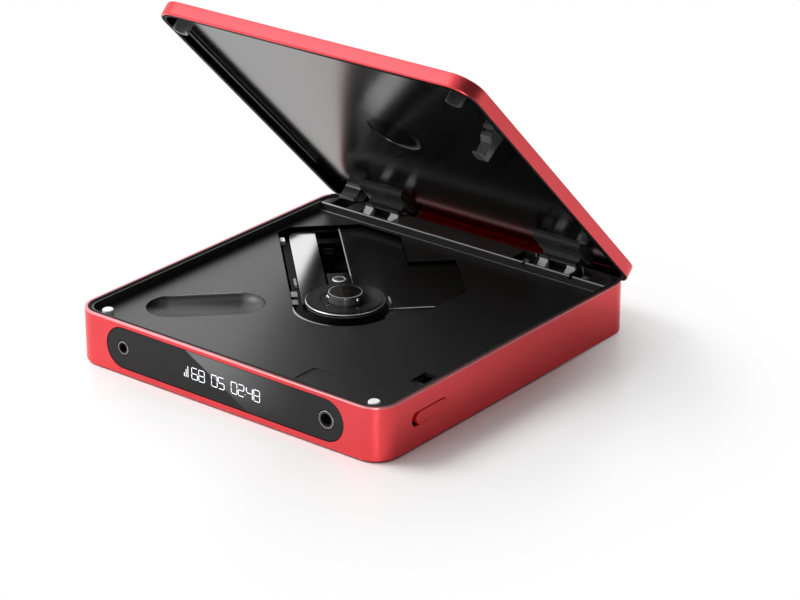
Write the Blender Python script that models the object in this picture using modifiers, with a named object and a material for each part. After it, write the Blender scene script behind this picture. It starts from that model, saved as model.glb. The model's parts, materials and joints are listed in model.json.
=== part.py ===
"""Portable CD player with a sprung, hinged lid, shown open.

Metres, +Z up, +X to the player's right, +Y to its rear. The base stands on the plane z = 0.
"""
import math

import bmesh
import bpy
from mathutils import Matrix, Vector

MM = 0.001

# Casing
WIDTH = 150.0 * MM
DEPTH = 156.0 * MM
SHELL_HEIGHT = 21.4 * MM
LID_HEIGHT = 5.75 * MM
CORNER_RADIUS = 10.0 * MM
WALL = 2.4 * MM
RIM_CHAMFER = 0.5 * MM
SEAM = 0.3 * MM
CLEARANCE = 0.3 * MM
SEAT = 0.02 * MM
CUT_OVERRUN = 1.0 * MM

# Feet and bottom cover
FOOT_HEIGHT = 0.5 * MM
FOOT_RADIUS = 6.0 * MM
FOOT_INSET = 16.0 * MM
COVER_THICKNESS = 1.2 * MM
COVER_LEDGE = 1.6 * MM
COVER_LEDGE_THICKNESS = 1.4 * MM
SCREW_RADIUS = 1.6 * MM
SCREW_DEPTH = 0.8 * MM
SCREW_INSET = 27.0 * MM

# Hinge axis, measured from the rear face and the rim
LID_OPEN_ANGLE = math.radians(45.3)
HINGE_INSET = 5.0 * MM
HINGE_DROP = 5.2 * MM
HINGE_SIDE = 30.6 * MM
HINGE_SPACING = WIDTH - 2 * HINGE_SIDE

# Deck
DECK_DROP = 4.1 * MM
DECK_THICKNESS = 1.5 * MM
DECK_LIP = 0.7 * MM
DECK_LIP_DROP = 0.4 * MM
HUB_X = -0.8 * MM
HUB_SHIFT = 5.2 * MM
HUB_Y = DEPTH / 2 - HUB_SHIFT
WELL_RADIUS = 20.2 * MM
OPENING_LEFT = 20.4 * MM
OPENING_FRONT = 8.3 * MM
OPENING_RIGHT = 48.0 * MM
OPENING_STEP_RIGHT = 29.0 * MM
OPENING_STEP_REAR = 40.0 * MM
OPENING_OVERHANG = 6.7 * MM
OPENING_CORNER_FRONT = 15.7 * MM
OPENING_CORNER_REAR = 15.0 * MM
OPENING_CORNER_LEFT = 5.4 * MM
SCOOP_LENGTH_SHARE = 0.457
SCOOP_REACH_SHARE = 0.526
SCOOP_FRONT_MARGIN = 1.0 * MM
SCOOP_WIDTH = 21.6 * MM
SCOOP_DEPTH = 4.4 * MM
SCOOP_WALL = 1.0 * MM
SCOOP_RISE = 0.4 * MM
SCOOP_OFFSET = 6.2 * MM
LATCH_SLOT_LENGTH = 9.2 * MM
LATCH_SLOT_WIDTH = 6.7 * MM
LATCH_INSET = 10.7 * MM
LATCH_X = WIDTH / 2 - LATCH_INSET
LATCH_Y = 38.8 * MM
PANEL_LENGTH = 36.0 * MM
PANEL_WIDTH = 12.5 * MM
PANEL_DEPTH = 0.3 * MM
PANEL_INSET = 30.4 * MM
PANEL_X = WIDTH / 2 - PANEL_INSET
PANEL_Y = 15.6 * MM
POST_RADIUS = 2.25 * MM
POST_HEIGHT = 2.8 * MM
POST_INSET = 9.8 * MM
POST_X = WIDTH / 2 - POST_INSET
POST_Y = 8.6 * MM

# Hinge bar across the rear
BAR_DEPTH = 10.1 * MM
BAR_RISE = 3.3 * MM
BAR_DROP = 5.4 * MM
BAR_EDGE = 0.5 * MM
POCKET_FRONT = 0.9 * MM
POCKET_FLOOR = 2.9 * MM
LUG_RADIUS = 2.2 * MM
LUG_WIDTH = 7.4 * MM

# Goose-neck hinge arms of the lid
FINGER_SPACING = 13.2 * MM
FINGER_WIDTH = 4.0 * MM
FINGER_OUTER = 6.9 * MM
FINGER_INNER = 5.5 * MM
FINGER_BOSS = 2.0 * MM
FINGER_LEG = 1.1 * MM
FINGER_BEND = math.radians(16.0)
FINGER_KNUCKLE = 4.8 * MM
KNUCKLE_START = math.radians(158.0)
KNUCKLE_END = math.radians(204.0)
NECK_END_ANGLE = math.radians(145.0)
FINGER_END_ANGLE = math.radians(148.0)
ARM_PAD_LENGTH = 13.0 * MM
ARM_PAD_WIDTH = 22.0 * MM
ARM_PAD_THICKNESS = 2.2 * MM
ARM_PAD_SLOPE = 1.5 * MM
ARM_BLOCK_FRONT = 4.6 * MM
ARM_BLOCK_REAR = 1.4 * MM
PIN_RADIUS = 0.9 * MM
TAB_INSET = 11.4 * MM
TAB_X = TAB_INSET - WIDTH / 2
TAB_WIDTH = 8.0 * MM

# Torsion springs on the right hinge
SPRING_RADIUS = 1.85 * MM
SPRING_WIRE = 0.5 * MM
SPRING_PITCH = 1.05 * MM
SPRING_COILS = 5
SPRING_STEPS = 9
SPRING_LEG = 5.0 * MM
SPRING_LEG_ANGLE = math.radians(104.0)
SPRING_FOOT = 2.8 * MM
SPRING_INNER_OFFSET = 12.0 * MM
SPRING_OUTER_OFFSET = 10.6 * MM
SPRING_NOTCH = 1.6 * MM
SPRING_NOTCH_DEPTH = 1.5 * MM

# Lid
LID_SKIN = 0.8 * MM
LID_WALL = 1.0 * MM
LID_EDGE = 0.6 * MM
LINER_DEPTH = 4.05 * MM
HUB_DIMPLE_RADIUS = 11.5 * MM
HUB_DIMPLE_DEPTH = 0.35 * MM
HOOK_WIDTH = 4.8 * MM
HOOK_LENGTH = 12.0 * MM
HOOK_POST = 4.0 * MM
HOOK_TOOTH = 2.3 * MM
HOOK_TOOTH_HEIGHT = 0.8 * MM
HOOK_ROOT = 3.2 * MM
CUP_RADIUS = 3.7 * MM
CUP_WALL = 1.0 * MM
CUP_REACH = 2.0 * MM
STUD_RADIUS = 2.2 * MM
STUD_HEIGHT = 2.6 * MM
STUD_INSET = 12.5 * MM
STUD_REAR = 29.0 * MM
STUD_X = WIDTH / 2 - STUD_INSET
STUD_Y = DEPTH - STUD_REAR

# Front window, jacks and display
WINDOW_INSET = 17.2 * MM
WINDOW_LENGTH = WIDTH - 2 * WINDOW_INSET
WINDOW_HEIGHT = 16.4 * MM
WINDOW_RISE = 11.1 * MM
WINDOW_THICKNESS = 1.9 * MM
WINDOW_RECESS = 0.15 * MM
JACK_INSET = 8.0 * MM
JACK_SPACING = WINDOW_LENGTH - 2 * JACK_INSET
JACK_DEPTH = 14.0 * MM
JACK_LIP = 0.15 * MM
SMALL_JACK_RING = 2.75 * MM
SMALL_JACK_BORE = 1.9 * MM
LARGE_JACK_RING = 3.6 * MM
LARGE_JACK_BORE = 2.5 * MM
JACK_FLANGE = 0.8 * MM
DISPLAY_LENGTH = 46.0 * MM
DISPLAY_HEIGHT = 8.4 * MM
DISPLAY_THICKNESS = 1.8 * MM
DISPLAY_CORNER = 0.6 * MM

# Slider on the right that lets the lid go
SLIDER_SLOT_LENGTH = 20.7 * MM
SLIDER_SLOT_HEIGHT = 5.7 * MM
SLIDER_LENGTH = 18.0 * MM
SLIDER_HEIGHT = 5.1 * MM
SLIDER_PROUD = 0.4 * MM
SLIDER_TRAVEL = 2.2 * MM
SLIDER_Y = 28.2 * MM
SLIDER_RISE = 11.2 * MM
LATCH_PLATE = 0.8 * MM
LATCH_PLATE_WIDTH = 11.0 * MM
LATCH_PLATE_FRONT = 12.0 * MM
LATCH_PLATE_REAR = 6.6 * MM
LATCH_LEG = 1.6 * MM

# Keys on the left
KEY_NAMES = ("volume_down", "volume_up", "previous", "play", "next")
KEY_LENGTH = 9.0 * MM
KEY_HEIGHT = 4.0 * MM
KEY_PITCH = 14.0 * MM
KEY_FIRST_Y = 40.0 * MM
KEY_TRAVEL = 0.4 * MM
KEY_BOARD = 1.2 * MM
KEY_BOARD_HEIGHT = 9.0 * MM

# Turntable
PLATTER_RADIUS = 15.6 * MM
PLATTER_RISE = 2.5 * MM
PLATTER_THICKNESS = 1.3 * MM
PLATTER_EDGE = 0.3 * MM
PLATTER_BOSS = 7.0 * MM
HUB_RADIUS = 6.85 * MM
HUB_HEIGHT = 3.2 * MM
HUB_CAP_EDGE = 0.7 * MM
HUB_DIMPLE = 0.9 * MM
HUB_DIMPLE_MOUTH = 1.2 * MM
MAT_OUTER = 14.6 * MM
MAT_INNER = 9.6 * MM
MAT_PROUD = 0.15 * MM
MAT_GROOVE = 0.5 * MM
BALL_RADIUS = 0.95 * MM
BALL_REACH = 7.75 * MM
BALL_FIRST_ANGLE = math.radians(-7.0)
BALL_COUNT = 3
SHAFT_RADIUS = 1.0 * MM

# Mechanism under the deck, in its own axes: U to the rear right, V to the rear left
MECHANISM_TURN = math.radians(45.0)
PLATE_THICKNESS = 1.0 * MM
PLATE_LEFT = 16.0 * MM
PLATE_OVERLAP = 1.5 * MM
PLATE_WELL = 16.9 * MM
SLOT_WIDTH = 10.0 * MM
SLOT_START = 14.0 * MM
SLOT_OVERHANG = 5.4 * MM
CHASSIS_HALF = 19.0 * MM
CHASSIS_FRONT = 19.0 * MM
CHASSIS_MARGIN = 5.5 * MM
CHASSIS_THICKNESS = 2.0 * MM
CHASSIS_CORNER = 3.0 * MM
SLED_BAY_HALF = 15.6 * MM
SLED_BAY_START = 15.2 * MM
CHASSIS_END = 5.0 * MM
HOLDER_WIDTH = 5.0 * MM
HOLDER_LENGTH = 2.4 * MM
HOLDER_DROP = 2.2 * MM
ROD_RADIUS = 1.0 * MM
SCREW_SHAFT_RADIUS = 1.3 * MM
ROD_OFFSET = 13.3 * MM
ROD_RISE = 9.0 * MM
MOTOR_RADIUS = 9.4 * MM
MOTOR_HEIGHT = 6.0 * MM
FEED_MOTOR_RADIUS = 3.3 * MM
FEED_MOTOR_LENGTH = 18.0 * MM
SLED_HALF = 9.0 * MM
SLED_LENGTH = 17.0 * MM
SLED_TOP = 12.2 * MM
SLED_BOTTOM = 6.6 * MM
SLED_EAR = 2.4 * MM
SLED_EAR_LENGTH = 8.0 * MM
LENS_START = 26.0 * MM
LENS_HOLDER_HALF = 4.3 * MM
LENS_HOLDER_LENGTH = 13.0 * MM
LENS_HOLDER_TOP = 17.4 * MM
LENS_RING_RADIUS = 2.8 * MM
LENS_RADIUS = 1.9 * MM
LENS_DOME = 0.6 * MM
LENS_SEAT = 0.9 * MM
GROMMET_RADIUS = 3.2 * MM
GROMMET_HEIGHT = 2.6 * MM
GROMMET_WAIST = 2.4 * MM

# Boards, battery and socket
BOARD_THICKNESS = 1.2 * MM
BOARD_RISE = 4.0 * MM
BOARD_STANDOFF = 2.5 * MM
BOARD_WIDTH = 118.0 * MM
BOARD_FRONT = 8.0 * MM
BOARD_REAR = 42.0 * MM
BATTERY_WIDTH = 38.0 * MM
BATTERY_LENGTH = 44.0 * MM
BATTERY_HEIGHT = 10.5 * MM
BATTERY_INSET = 26.0 * MM
BATTERY_REAR = 44.0 * MM
BATTERY_X = WIDTH / 2 - BATTERY_INSET
BATTERY_Y = DEPTH - BATTERY_REAR
BATTERY_EDGE = 1.5 * MM
SOCKET_LENGTH = 9.0 * MM
SOCKET_HEIGHT = 3.3 * MM
SOCKET_DEPTH = 7.5 * MM
SOCKET_WALL = 0.35 * MM
SOCKET_RISE = 7.0 * MM
SOCKET_BOARD_LENGTH = 16.0 * MM
SOCKET_BOARD_DEPTH = 11.0 * MM

ROUND_STEPS = 44
SMALL_ROUND_STEPS = 24
CORNER_STEPS = 8
ARC_STEPS = 10
CHAMFER_LIMIT = math.radians(50.0)
FLAT_LIMIT = math.radians(0.5)
MERGE = 0.00001

RIM_Z = FOOT_HEIGHT + SHELL_HEIGHT
DECK_Z = RIM_Z - DECK_DROP
DECK_UNDER_Z = DECK_Z - DECK_THICKNESS
HINGE_Y = DEPTH - HINGE_INSET
HINGE_Z = RIM_Z - HINGE_DROP
LID_RIM_Z = RIM_Z + SEAM
LINER_Z = LID_RIM_Z + LINER_DEPTH
BAR_FRONT_Y = DEPTH - WALL - CLEARANCE - BAR_DEPTH
BAR_TOP_Z = DECK_Z + BAR_RISE
PLATTER_Z = DECK_Z + PLATTER_RISE
PLATE_Z = DECK_UNDER_Z - CLEARANCE
CHASSIS_Z = PLATE_Z - PLATE_THICKNESS - CLEARANCE
COVER_Z = FOOT_HEIGHT + COVER_THICKNESS

# The mechanism fills the corner between the hub, the left wall and the hinge bar
SCOOP_DIAGONAL = math.sqrt(2.0) * min(WIDTH / 2 - WALL + HUB_X, HUB_Y - SCOOP_FRONT_MARGIN)
SCOOP_LENGTH = SCOOP_LENGTH_SHARE * SCOOP_DIAGONAL
SCOOP_REACH = SCOOP_REACH_SHARE * SCOOP_DIAGONAL
MECHANISM_ROOM = math.sqrt(2.0) * min(BAR_FRONT_Y - HUB_Y, WIDTH / 2 - WALL + HUB_X)
CHASSIS_REAR = MECHANISM_ROOM - CHASSIS_HALF - CHASSIS_MARGIN
SLED_BAY_END = CHASSIS_REAR - CHASSIS_END
SLOT_END = CHASSIS_REAR + SLOT_OVERHANG
OPENING_REAR = CHASSIS_REAR + OPENING_OVERHANG


def y_offset():
    """Half-way between the front face and the rearmost point of the open lid."""
    centre = Vector((HINGE_INSET - LID_EDGE, HINGE_DROP + SEAM + LID_HEIGHT - LID_EDGE))
    reach = centre.x * math.cos(LID_OPEN_ANGLE) + centre.y * math.sin(LID_OPEN_ANGLE) + LID_EDGE
    return (HINGE_Y + reach) / 2


def clear_scene():
    for item in list(bpy.data.objects):
        bpy.data.objects.remove(item, do_unlink=True)


clear_scene()
parts = bpy.data.collections.new("portable_cd_player")
cutters = bpy.data.collections.new("cutters")
bpy.context.scene.collection.children.link(parts)
bpy.context.scene.collection.children.link(cutters)


def material(name, colour, roughness, metallic=0.0):
    made = bpy.data.materials.new(name)
    made.use_nodes = True
    shader = made.node_tree.nodes["Principled BSDF"]
    shader.inputs["Base Color"].default_value = (*colour, 1.0)
    shader.inputs["Roughness"].default_value = roughness
    shader.inputs["Metallic"].default_value = metallic
    return made


RED = material("red_anodised_metal", (0.62, 0.03, 0.04), 0.35, 0.6)
BLACK = material("black_satin_plastic", (0.03, 0.03, 0.033), 0.45)
GLOSS = material("black_gloss_plastic", (0.008, 0.008, 0.009), 0.08)
RUBBER = material("black_rubber", (0.02, 0.02, 0.02), 0.8)
STEEL = material("bright_steel", (0.75, 0.75, 0.77), 0.25, 1.0)
PALE = material("white_rubber", (0.85, 0.85, 0.83), 0.5)
GLASS = material("dark_window", (0.02, 0.02, 0.022), 0.06)
BOARD = material("green_board", (0.02, 0.16, 0.08), 0.5)
CELL = material("battery_wrap", (0.10, 0.16, 0.35), 0.4)
LENS = material("lens_glass", (0.10, 0.16, 0.30), 0.03)


def empty(name, place, turn=(0, 0, 0), parent=None):
    made = bpy.data.objects.new(name, None)
    made.location = place
    made.rotation_euler = turn
    made.parent = parent
    parts.objects.link(made)
    return made


player = empty("player", (0, -y_offset(), 0))
lid_axis = empty("lid_hinge", (0, HINGE_Y, HINGE_Z), (-LID_OPEN_ANGLE, 0, 0), player)
turntable_axis = empty("turntable_axis", (HUB_X, HUB_Y, 0), (0, 0, 0), player)
mechanism = empty("mechanism", (HUB_X, HUB_Y, 0), (0, 0, MECHANISM_TURN), player)
pickup_axis = empty("pickup_slide", (0, LENS_START, 0), (0, 0, 0), mechanism)
screw_axis = empty("lead_screw_axis", (ROD_OFFSET, 0, ROD_RISE), (0, 0, 0), mechanism)
slider_axis = empty("open_slider_slide", (WIDTH / 2, SLIDER_Y, FOOT_HEIGHT + SLIDER_RISE), (0, 0, 0), player)


def in_lid(x, y, z):
    """A place of the closed lid, in the axes of its hinge."""
    return Vector((x, y - HINGE_Y, z - HINGE_Z))


def add(name, mesh, look, parent=player, place=(0, 0, 0), turn=(0, 0, 0)):
    """A part when it has a look, and otherwise a cutter."""
    made = bpy.data.objects.new(name, mesh)
    made.location = place
    made.rotation_euler = turn
    made.parent = parent
    if look is None:
        cutters.objects.link(made)
        made.hide_render = True
        made.display_type = "WIRE"
    else:
        mesh.materials.append(look)
        parts.objects.link(made)
    return made


def rounded(width, depth, radius, steps=CORNER_STEPS, centre=(0, 0)):
    """A rectangle with round corners, anticlockwise."""
    points = []
    for quarter in range(4):
        start = quarter * math.pi / 2
        x = (width / 2 - radius) * (1 if quarter in (0, 3) else -1)
        y = (depth / 2 - radius) * (1 if quarter in (0, 1) else -1)
        for step in range(steps + 1):
            angle = start + step * math.pi / 2 / steps
            points.append((centre[0] + x + radius * math.cos(angle),
                           centre[1] + y + radius * math.sin(angle)))
    return points


def pill(length, height, steps=CORNER_STEPS, centre=(0, 0)):
    """A slot outline whose ends are half circles."""
    points = []
    radius = height / 2
    for side in (1, -1):
        for step in range(2 * steps + 1):
            angle = (step / steps - side) * math.pi / 2
            x = side * (length / 2 - radius) + radius * math.cos(angle)
            points.append((centre[0] + x, centre[1] + radius * math.sin(angle)))
    return points


def circle(radius, steps=SMALL_ROUND_STEPS, centre=(0, 0)):
    turns = [step * 2 * math.pi / steps for step in range(steps)]
    return [(centre[0] + radius * math.cos(turn), centre[1] + radius * math.sin(turn)) for turn in turns]


def rectangle(low, high):
    return [(low[0], low[1]), (high[0], low[1]), (high[0], high[1]), (low[0], high[1])]


def arc(centre, radius, start, end, steps=ARC_STEPS):
    angles = [start + (end - start) * step / steps for step in range(steps + 1)]
    return [(centre[0] + radius * math.cos(angle), centre[1] + radius * math.sin(angle)) for angle in angles]


def flat_mesh(name, outlines, thickness):
    """Outlines in XY as a solid from z = 0 to its thickness. The second and later ones are holes."""
    data = bpy.data.curves.new(name, "CURVE")
    data.dimensions = "2D"
    data.fill_mode = "BOTH"
    data.extrude = thickness / 2
    for outline in outlines:
        spline = data.splines.new("POLY")
        spline.points.add(len(outline) - 1)
        for point, (x, y) in zip(spline.points, outline):
            point.co = (x, y, 0, 1)
        spline.use_cyclic_u = True
    holder = bpy.data.objects.new(name, data)
    parts.objects.link(holder)
    graph = bpy.context.evaluated_depsgraph_get()
    mesh = bpy.data.meshes.new_from_object(holder.evaluated_get(graph))
    bpy.data.objects.remove(holder)
    bpy.data.curves.remove(data)
    form = bmesh.new()
    form.from_mesh(mesh)
    bmesh.ops.remove_doubles(form, verts=form.verts, dist=MERGE)
    bmesh.ops.dissolve_limit(form, angle_limit=FLAT_LIMIT, verts=form.verts, edges=form.edges)
    bmesh.ops.translate(form, verts=form.verts, vec=(0, 0, thickness / 2))
    bmesh.ops.recalc_face_normals(form, faces=form.faces)
    form.to_mesh(mesh)
    form.free()
    return mesh


ALONG_X = (math.pi / 2, 0, math.pi / 2)
ALONG_MINUS_Y = (math.pi / 2, 0, 0)


def slab(name, outlines, thickness, look, place=(0, 0, 0), turn=(0, 0, 0), parent=player):
    """A flat outline with a thickness. ALONG_X reads it as (y, z), ALONG_MINUS_Y as (x, z)."""
    return add(name, flat_mesh(name, outlines, thickness), look, parent, place, turn)


def turned(name, profile, look, place=(0, 0, 0), turn=(0, 0, 0), parent=player, steps=ROUND_STEPS,
           ring=False):
    """A profile of (radius, height) turned about Z, read down its outer side."""
    mesh = bpy.data.meshes.new(name)
    count = len(profile)
    edges = [(index, index + 1) for index in range(count - 1)]
    if ring:
        edges.append((count - 1, 0))
    mesh.from_pydata([(radius, 0, height) for radius, height in profile], edges, [])
    made = add(name, mesh, look, parent, place, turn)
    screw = made.modifiers.new("turn", "SCREW")
    screw.steps = steps
    screw.render_steps = steps
    screw.use_merge_vertices = True
    screw.merge_threshold = MERGE
    graph = bpy.context.evaluated_depsgraph_get()
    solid = bpy.data.meshes.new_from_object(made.evaluated_get(graph))
    made.modifiers.clear()
    made.data = solid
    form = bmesh.new()
    form.from_mesh(solid)
    bmesh.ops.remove_doubles(form, verts=form.verts, dist=MERGE)
    form.to_mesh(solid)
    form.free()
    return made


def chamfer(item, width, segments=1):
    bevel = item.modifiers.new("edges", "BEVEL")
    bevel.width = width
    bevel.segments = segments
    bevel.limit_method = "ANGLE"
    bevel.angle_limit = CHAMFER_LIMIT


def cut(item, cutter):
    boolean = item.modifiers.new("cut", "BOOLEAN")
    boolean.object = cutter
    boolean.operation = "DIFFERENCE"


def join(item, piece):
    """Adds a guide solid to a part."""
    boolean = item.modifiers.new("join", "BOOLEAN")
    boolean.object = piece
    boolean.operation = "UNION"


def smooth(item):
    """Rounds the shading of a turned or beveled piece."""
    item.data.shade_smooth()
    item.data.set_sharp_from_angle(angle=CHAMFER_LIMIT)


def inner_outline(gap, centre=(0, 0)):
    """The casing's outline, drawn in by a gap from its outer faces."""
    return rounded(WIDTH - 2 * gap, DEPTH - 2 * gap, CORNER_RADIUS - gap, centre=centre)


MIDDLE = (0, DEPTH / 2)


def make_body_shell():
    """Red ring of walls with a ledge for the bottom cover and a rear edge rounded about the hinge."""
    shell = slab("body_shell", [inner_outline(0, MIDDLE)], SHELL_HEIGHT, RED, (0, 0, FOOT_HEIGHT))
    chamfer(shell, RIM_CHAMFER, 2)
    cut(shell, slab("cavity_cutter", [inner_outline(WALL, MIDDLE)], RIM_Z + 2 * CUT_OVERRUN, None,
                    (0, 0, -CUT_OVERRUN)))
    ledge = [inner_outline(WALL / 2, MIDDLE), inner_outline(WALL + COVER_LEDGE, MIDDLE)]
    join(shell, slab("cover_ledge", ledge, COVER_LEDGE_THICKNESS, None, (0, 0, COVER_Z + CLEARANCE)))
    rear = DEPTH + CUT_OVERRUN
    top = RIM_Z + CUT_OVERRUN
    curve = arc((HINGE_Y, HINGE_Z), HINGE_DROP + SEAM / 3, math.pi / 2, 0)
    relief = [(HINGE_Y, top)] + curve + [(rear + HINGE_DROP, HINGE_Z), (rear + HINGE_DROP, top)]
    relief_cutter = slab("rear_edge_cutter", [relief], 2 * WIDTH, None, (-WIDTH, 0, 0), ALONG_X)
    cut(shell, relief_cutter)
    window_hole = pill(WINDOW_LENGTH + 2 * CLEARANCE, WINDOW_HEIGHT + 2 * CLEARANCE,
                       centre=(0, FOOT_HEIGHT + WINDOW_RISE))
    cut(shell, slab("window_cutter", [window_hole], WALL + 2 * CUT_OVERRUN, None,
                    (0, WALL + CUT_OVERRUN, 0), ALONG_MINUS_Y))
    slider_hole = pill(SLIDER_SLOT_LENGTH, SLIDER_SLOT_HEIGHT, centre=(SLIDER_Y, FOOT_HEIGHT + SLIDER_RISE))
    cut(shell, slab("slider_slot_cutter", [slider_hole], WALL + 2 * CUT_OVERRUN, None,
                    (WIDTH / 2 - WALL - CUT_OVERRUN, 0, 0), ALONG_X))
    for index, name in enumerate(KEY_NAMES):
        key_hole = pill(KEY_LENGTH + 2 * CLEARANCE, KEY_HEIGHT + 2 * CLEARANCE, CORNER_STEPS // 2,
                        key_place(index))
        cut(shell, slab(name + "_slot_cutter", [key_hole], WALL + 2 * CUT_OVERRUN, None,
                        (-WIDTH / 2 - CUT_OVERRUN, 0, 0), ALONG_X))
    socket_hole = pill(SOCKET_LENGTH + 2 * CLEARANCE, SOCKET_HEIGHT + 2 * CLEARANCE,
                       centre=(0, FOOT_HEIGHT + SOCKET_RISE))
    cut(shell, slab("socket_cutter", [socket_hole], WALL + 2 * CUT_OVERRUN, None,
                    (0, DEPTH + CUT_OVERRUN, 0), ALONG_MINUS_Y))


def key_place(index):
    """Centre of a key on the left wall, as (y, z)."""
    return (KEY_FIRST_Y + index * KEY_PITCH, FOOT_HEIGHT + SLIDER_RISE)


def corners(inset):
    """The four places that lie an inset from the casing's outer faces."""
    return [(x * (WIDTH / 2 - inset), y) for x in (-1, 1) for y in (inset, DEPTH - inset)]


GROMMET_PLACES = ((-CHASSIS_HALF + GROMMET_RADIUS, -CHASSIS_FRONT + GROMMET_RADIUS),
                  (CHASSIS_HALF - GROMMET_RADIUS, -CHASSIS_FRONT + GROMMET_RADIUS),
                  (0, CHASSIS_REAR - (CHASSIS_REAR - SLED_BAY_END) / 2))


def on_mechanism(u, v):
    """Mechanism axes to the player's own."""
    cosine = math.cos(MECHANISM_TURN)
    sine = math.sin(MECHANISM_TURN)
    return (HUB_X + u * cosine - v * sine, HUB_Y + u * sine + v * cosine)


def make_bottom():
    """Bottom cover with its standoffs and screw seats, and four feet."""
    cover = slab("bottom_cover", [inner_outline(WALL + CLEARANCE, MIDDLE)], COVER_THICKNESS, BLACK,
                 (0, 0, FOOT_HEIGHT))
    grommet_seat = CHASSIS_Z - CHASSIS_THICKNESS - 2 * CLEARANCE - GROMMET_HEIGHT
    sunk = COVER_THICKNESS / 2
    for index, (u, v) in enumerate(GROMMET_PLACES):
        x, y = on_mechanism(u, v)
        height = grommet_seat - COVER_Z + sunk
        join(cover, slab("chassis_post_%d" % index, [circle(GROMMET_WAIST, centre=(x, y))], height, None,
                         (0, 0, COVER_Z - sunk)))
    stand_x = BOARD_WIDTH / 2 - 2 * BOARD_STANDOFF
    stand_y = (BOARD_FRONT + 2 * BOARD_STANDOFF, BOARD_REAR - 2 * BOARD_STANDOFF)
    height = FOOT_HEIGHT + BOARD_RISE - CLEARANCE - COVER_Z + sunk
    for index, (x, y) in enumerate((side * stand_x, y) for side in (-1, 1) for y in stand_y):
        join(cover, slab("board_post_%d" % index, [circle(BOARD_STANDOFF, centre=(x, y))], height, None,
                         (0, 0, COVER_Z - sunk)))
    for index, (x, y) in enumerate(corners(SCREW_INSET)):
        hole = SCREW_RADIUS + CLEARANCE
        seat = slab("screw_seat_cutter_%d" % index, [circle(hole, centre=(x, y))], SCREW_DEPTH + CLEARANCE, None,
                    (0, 0, FOOT_HEIGHT - CLEARANCE))
        cut(cover, seat)
    for index, (x, y) in enumerate(corners(FOOT_INSET)):
        thickness = FOOT_HEIGHT - SEAT
        profile = [(0, thickness), (FOOT_RADIUS, thickness), (FOOT_RADIUS, thickness / 2),
                   (FOOT_RADIUS - thickness / 2, 0), (0, 0)]
        smooth(turned("foot_%d" % (index + 1), profile, RUBBER, (x, y, 0), steps=SMALL_ROUND_STEPS))


def opening_outline(more=0, left=OPENING_LEFT):
    """The V of the deck's opening, square to the mechanism, or the same drawn wider all round."""
    front = -OPENING_FRONT - more
    right = OPENING_RIGHT + more
    step_right = OPENING_STEP_RIGHT + more
    step_rear = OPENING_STEP_REAR + more
    rear = OPENING_REAR + more
    slope = (2 - math.sqrt(2.0)) * more
    front_cut = OPENING_CORNER_FRONT + slope
    rear_cut = OPENING_CORNER_REAR + slope
    left_cut = OPENING_CORNER_LEFT + slope
    places = [(-left, 0), (0, front), (right - front_cut, front), (right, front + front_cut),
              (right, step_rear), (step_right, step_rear), (step_right, rear - rear_cut),
              (step_right - rear_cut, rear), (left_cut - left, rear), (-left, rear - left_cut)]
    return [on_mechanism(u, v) for u, v in places]


def deck_edge(gap, rear):
    """The casing's outline at a gap inside it, from the left rear round the front to the right rear."""
    outline = [point for point in inner_outline(gap, MIDDLE) if point[1] < rear]
    left_side = [point for point in outline if point[0] < 0]
    right_side = [point for point in outline if point[0] >= 0]
    half = WIDTH / 2 - gap
    return [(-half, rear)] + left_side + right_side + [(half, rear)]


def make_deck():
    """Black deck with the V opening, turntable well, finger scoop, latch slot and blank panel."""
    gap = WALL + CLEARANCE
    rear = BAR_FRONT_Y - CLEARANCE
    outer = deck_edge(gap, rear)
    deck = slab("deck_plate", [outer], DECK_THICKNESS, BLACK, (0, 0, DECK_UNDER_Z))
    half = DECK_THICKNESS / 2
    lip = outer + deck_edge(gap + DECK_LIP, rear)[::-1]
    join(deck, slab("deck_lip", [lip], RIM_Z - DECK_LIP_DROP - DECK_Z + half, None, (0, 0, DECK_Z - half)))
    turn = (0, 0, MECHANISM_TURN)
    x, y = on_mechanism(-SCOOP_REACH, SCOOP_OFFSET)
    deep = SCOOP_DEPTH + SCOOP_RISE
    bowl = capsule("scoop_bowl", SCOOP_LENGTH + 2 * SCOOP_WALL, SCOOP_WIDTH + 2 * SCOOP_WALL,
                   deep + SCOOP_WALL, SCOOP_RISE + SCOOP_WALL)
    join(deck, add("scoop_bowl_guide", bowl, None, player, (x, y, DECK_Z + SCOOP_RISE), turn))
    hollow = capsule("scoop_hollow", SCOOP_LENGTH, SCOOP_WIDTH, deep, 0)
    cut(deck, add("scoop_cutter", hollow, None, player, (x, y, DECK_Z + SCOOP_RISE), turn))
    depth = DECK_THICKNESS + 2 * CUT_OVERRUN
    low = DECK_UNDER_Z - CUT_OVERRUN
    cut(deck, slab("opening_cutter", [opening_outline()], depth, None, (0, 0, low)))
    well = circle(WELL_RADIUS, ROUND_STEPS, (HUB_X, HUB_Y))
    cut(deck, slab("well_cutter", [well], depth, None, (0, 0, low)))
    slot = rectangle((LATCH_X - LATCH_SLOT_WIDTH / 2, LATCH_Y - LATCH_SLOT_LENGTH / 2),
                     (LATCH_X + LATCH_SLOT_WIDTH / 2, LATCH_Y + LATCH_SLOT_LENGTH / 2))
    cut(deck, slab("latch_slot_cutter", [slot], depth, None, (0, 0, low)))
    panel = rounded(PANEL_LENGTH, PANEL_WIDTH, PANEL_WIDTH / 8, 3, (PANEL_X, PANEL_Y))
    cut(deck, slab("panel_cutter", [panel], PANEL_DEPTH + CUT_OVERRUN, None, (0, 0, DECK_Z - PANEL_DEPTH)))


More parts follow.
